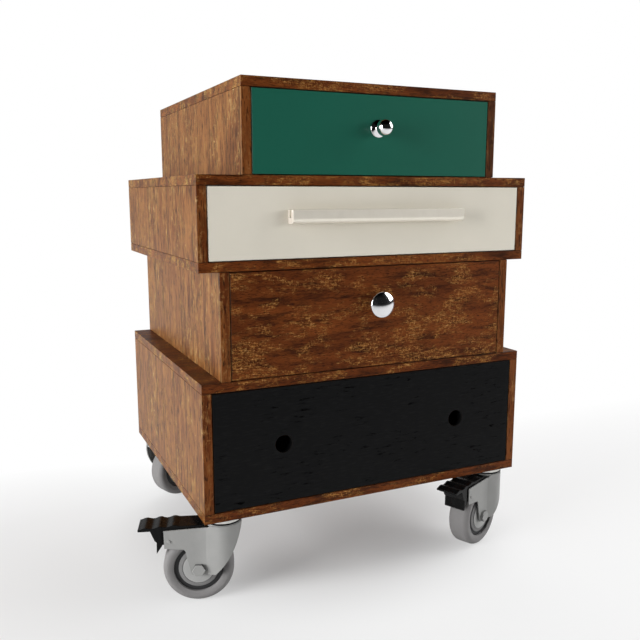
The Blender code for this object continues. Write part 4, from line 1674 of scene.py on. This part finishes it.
@dataclass
class Softbox:
    """A wide lamp that faces a point; level is how bright it makes a white surface there."""

    name: str
    place: Place
    width: float
    height: float
    level: float
    target: Place = (0.0, 0.0, 0.35)
    mirrored: bool = True

    def build(self) -> None:
        """Hang the lamp."""
        light = bpy.data.lights.new(self.name, "AREA")
        light.shape = "RECTANGLE"
        light.size = self.width
        light.size_y = self.height
        way = Vector(self.place) - Vector(self.target)
        light.energy = self.level * math.pi**2 * way.length_squared
        lamp = bpy.data.objects.new(self.name, light)
        bpy.context.scene.collection.objects.link(lamp)
        lamp.location = self.place
        lamp.rotation_mode = "QUATERNION"
        lamp.rotation_quaternion = way.to_track_quat("Z", "Y")
        lamp.visible_glossy = self.mirrored


@dataclass
class Studio:
    """A white floor that runs out into a white background, and soft lamps."""

    floor_half: float = 9.0
    floor_cells: int = 8
    floor_colour: Colour = (0.65, 0.65, 0.65)
    floor_dark: Colour = (0.01, 0.01, 0.01)
    floor_roughness: float = 0.85
    floor_gloss: float = 0.1
    # painted light: the share of white glow on the floor, which lifts its shadows, more to the right
    # and away from the chest
    floor_glow: float = 0.18
    glow_span: Span = (0.18, 0.38)
    glow_places: Span = (-0.5, 0.05)
    glow_levels: Span = (0.36, 0.62)
    white_span: Span = (0.75, 1.8)
    fade_span: Span = (-0.1, 0.6)
    dark_span: Span = (-1.0, -2.6)
    room_level: float = 0.012
    backdrop_level: float = 0.6
    backdrop_span: Span = (0.15, 0.45)
    backdrop_top: float = 0.45
    backdrop_fade: float = 0.3
    lamps: tuple[Softbox, ...] = (
        Softbox("left_softbox", (-3.2, -0.6, 0.95), 1.9, 1.7, 1.7),
        Softbox("right_softbox", (2.4, -0.4, 1.6), 2.2, 1.9, 0.8),
        Softbox("front_softbox", (3.1, -2.9, 0.95), 3.0, 1.5, 0.48, mirrored=False),
        Softbox("top_softbox", (0.1, -0.4, 3.0), 2.4, 2.4, 0.11, mirrored=False),
        Softbox("back_softbox", (1.1, 2.4, 1.9), 2.2, 1.4, 0.35, mirrored=False),
    )

    def build(self) -> None:
        """Build the floor, the surroundings and the lamps."""
        self.build_floor()
        self.build_surroundings()
        for lamp in self.lamps:
            lamp.build()

    def build_floor(self) -> None:
        """A wide floor: shadows round the chest, plain white behind it, dark far in front."""
        body = bmesh.new()
        cells = self.floor_cells
        bmesh.ops.create_grid(body, x_segments=cells, y_segments=cells, size=self.floor_half)
        floor = bpy.data.objects.new("studio_floor", new_mesh("studio_floor", body))
        bpy.context.scene.collection.objects.link(floor)
        floor.data.materials.append(self.floor_material())

    def floor_material(self) -> bpy.types.Material:
        """The floor's finish, which glows white where the photograph's floor is white.

        Returns:
            The material.
        """
        sketch = Sketch("studio_floor")
        across, along, _ = sketch.axes(sketch.coordinates).values()
        far = sketch.range(along, *self.dark_span)
        sketch.paint(sketch.mix(far, self.floor_colour, self.floor_dark))
        sketch.feed("Roughness", self.floor_roughness)
        sketch.feed("Specular IOR Level", self.floor_gloss)
        away = sketch.add("ShaderNodeVectorMath", {0: sketch.coordinates}, operation="LENGTH")
        away = away.outputs["Value"]
        # painted light: the glow grows to the right and away from the chest and lifts the floor's
        # shadows, for the camera and for reflections near the chest
        level = sketch.range(across, *self.glow_places, *self.glow_levels, Easing.SMOOTH)
        clear = sketch.range(away, *self.glow_span, easing=Easing.SMOOTH)
        fade = sketch.range(along, *self.fade_span)
        total = sketch.math("ADD", sketch.times(fade, fade), sketch.times(clear, level))
        smooth = sketch.range(total, 0.0, 1.0, self.floor_glow, 1.0)
        distant = sketch.range(away, *self.white_span, easing=Easing.SMOOTH)
        camera_rays = sketch.shown_to(Coverage.CAMERA)
        other_rays = sketch.shown_to(Coverage.GLOSSY, Coverage.TRANSMISSION)
        seen = sketch.times(sketch.math("MAXIMUM", smooth, distant), camera_rays)
        near = sketch.times(smooth, sketch.math("SUBTRACT", 1.0, far))
        share = sketch.math("MAXIMUM", seen, sketch.times(near, other_rays))
        white = sketch.add("ShaderNodeEmission", {"Color": (*WHITE, 1), "Strength": 1.0})
        shaders = {0: share, 1: sketch.shader.outputs[0], 2: white.outputs[0]}
        blend = sketch.add("ShaderNodeMixShader", shaders)
        output = sketch.tree.nodes["Material Output"]
        sketch.tree.links.new(blend.outputs[0], output.inputs["Surface"])
        return sketch.material

    def build_surroundings(self) -> None:
        """A bright backdrop behind the chest, a dim room in front, white to the camera."""
        world = bpy.data.worlds.new("studio")
        world.use_nodes = True
        bpy.context.scene.world = world
        world.node_tree.nodes.clear()
        nodes = Nodes(world.node_tree)
        way = nodes.add("ShaderNodeTexCoord", {}).outputs["Generated"]
        _, depth, up = nodes.axes(way).values()
        behind = nodes.range(depth, *self.backdrop_span, self.room_level, self.backdrop_level)
        fade_end = self.backdrop_top + self.backdrop_fade
        below = nodes.range(up, self.backdrop_top, fade_end, 1.0, 0.0)
        white = (*WHITE, 1)
        lit = {"Color": white, "Strength": nodes.times(behind, below)}
        room = nodes.add("ShaderNodeBackground", lit)
        plain = nodes.add("ShaderNodeBackground", {"Color": white})
        camera_rays = nodes.shown_to(Coverage.CAMERA)
        shaders = {0: camera_rays, 1: room.outputs[0], 2: plain.outputs[0]}
        shown = nodes.add("ShaderNodeMixShader", shaders)
        nodes.add("ShaderNodeOutputWorld", {"Surface": shown.outputs[0]})


@dataclass
class Camera:
    """The photograph's camera."""

    place: Place = (-0.5267, -1.15837, 0.5744)
    tilt: float = 80.39
    turn: float = -24.96
    lens: float = 41.678
    sensor: float = 36.0

    def build(self) -> None:
        """Set up the camera and make it the scene's."""
        data = bpy.data.cameras.new("camera")
        data.lens = self.lens
        data.sensor_width = self.sensor
        data.sensor_fit = "HORIZONTAL"
        camera = bpy.data.objects.new("camera", data)
        bpy.context.scene.collection.objects.link(camera)
        camera.location = self.place
        camera.rotation_euler = (math.radians(self.tilt), 0, math.radians(self.turn))
        bpy.context.scene.camera = camera


def main() -> None:
    """Build and dress everything in order."""
    logging.basicConfig(level=logging.INFO, format="%(name)s: %(message)s")
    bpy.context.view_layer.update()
    carcass = Carcass()
    carcass.dress()
    carcass.glue()
    fronts = {
        "top_drawer": GREEN_PAINT, "upper_drawer": CREAM_PAINT,
        "lower_drawer": WOOD_FRONT, "bottom_drawer": BLACK_PAINT,
    }
    for name, finish in fronts.items():
        Drawer(name, finish).dress()
    BallKnob().build()
    DomeKnob().build()
    BarHandle().build()
    sizes = CasterSizes()
    for corner in ("front_left", "front_right", "back_left", "back_right"):
        Caster(corner, sizes).build()
    Studio().build()
    Camera().build()
    bpy.context.scene.view_settings.view_transform = "Standard"
    bpy.context.view_layer.update()


if __name__ == "__main__":
    main()
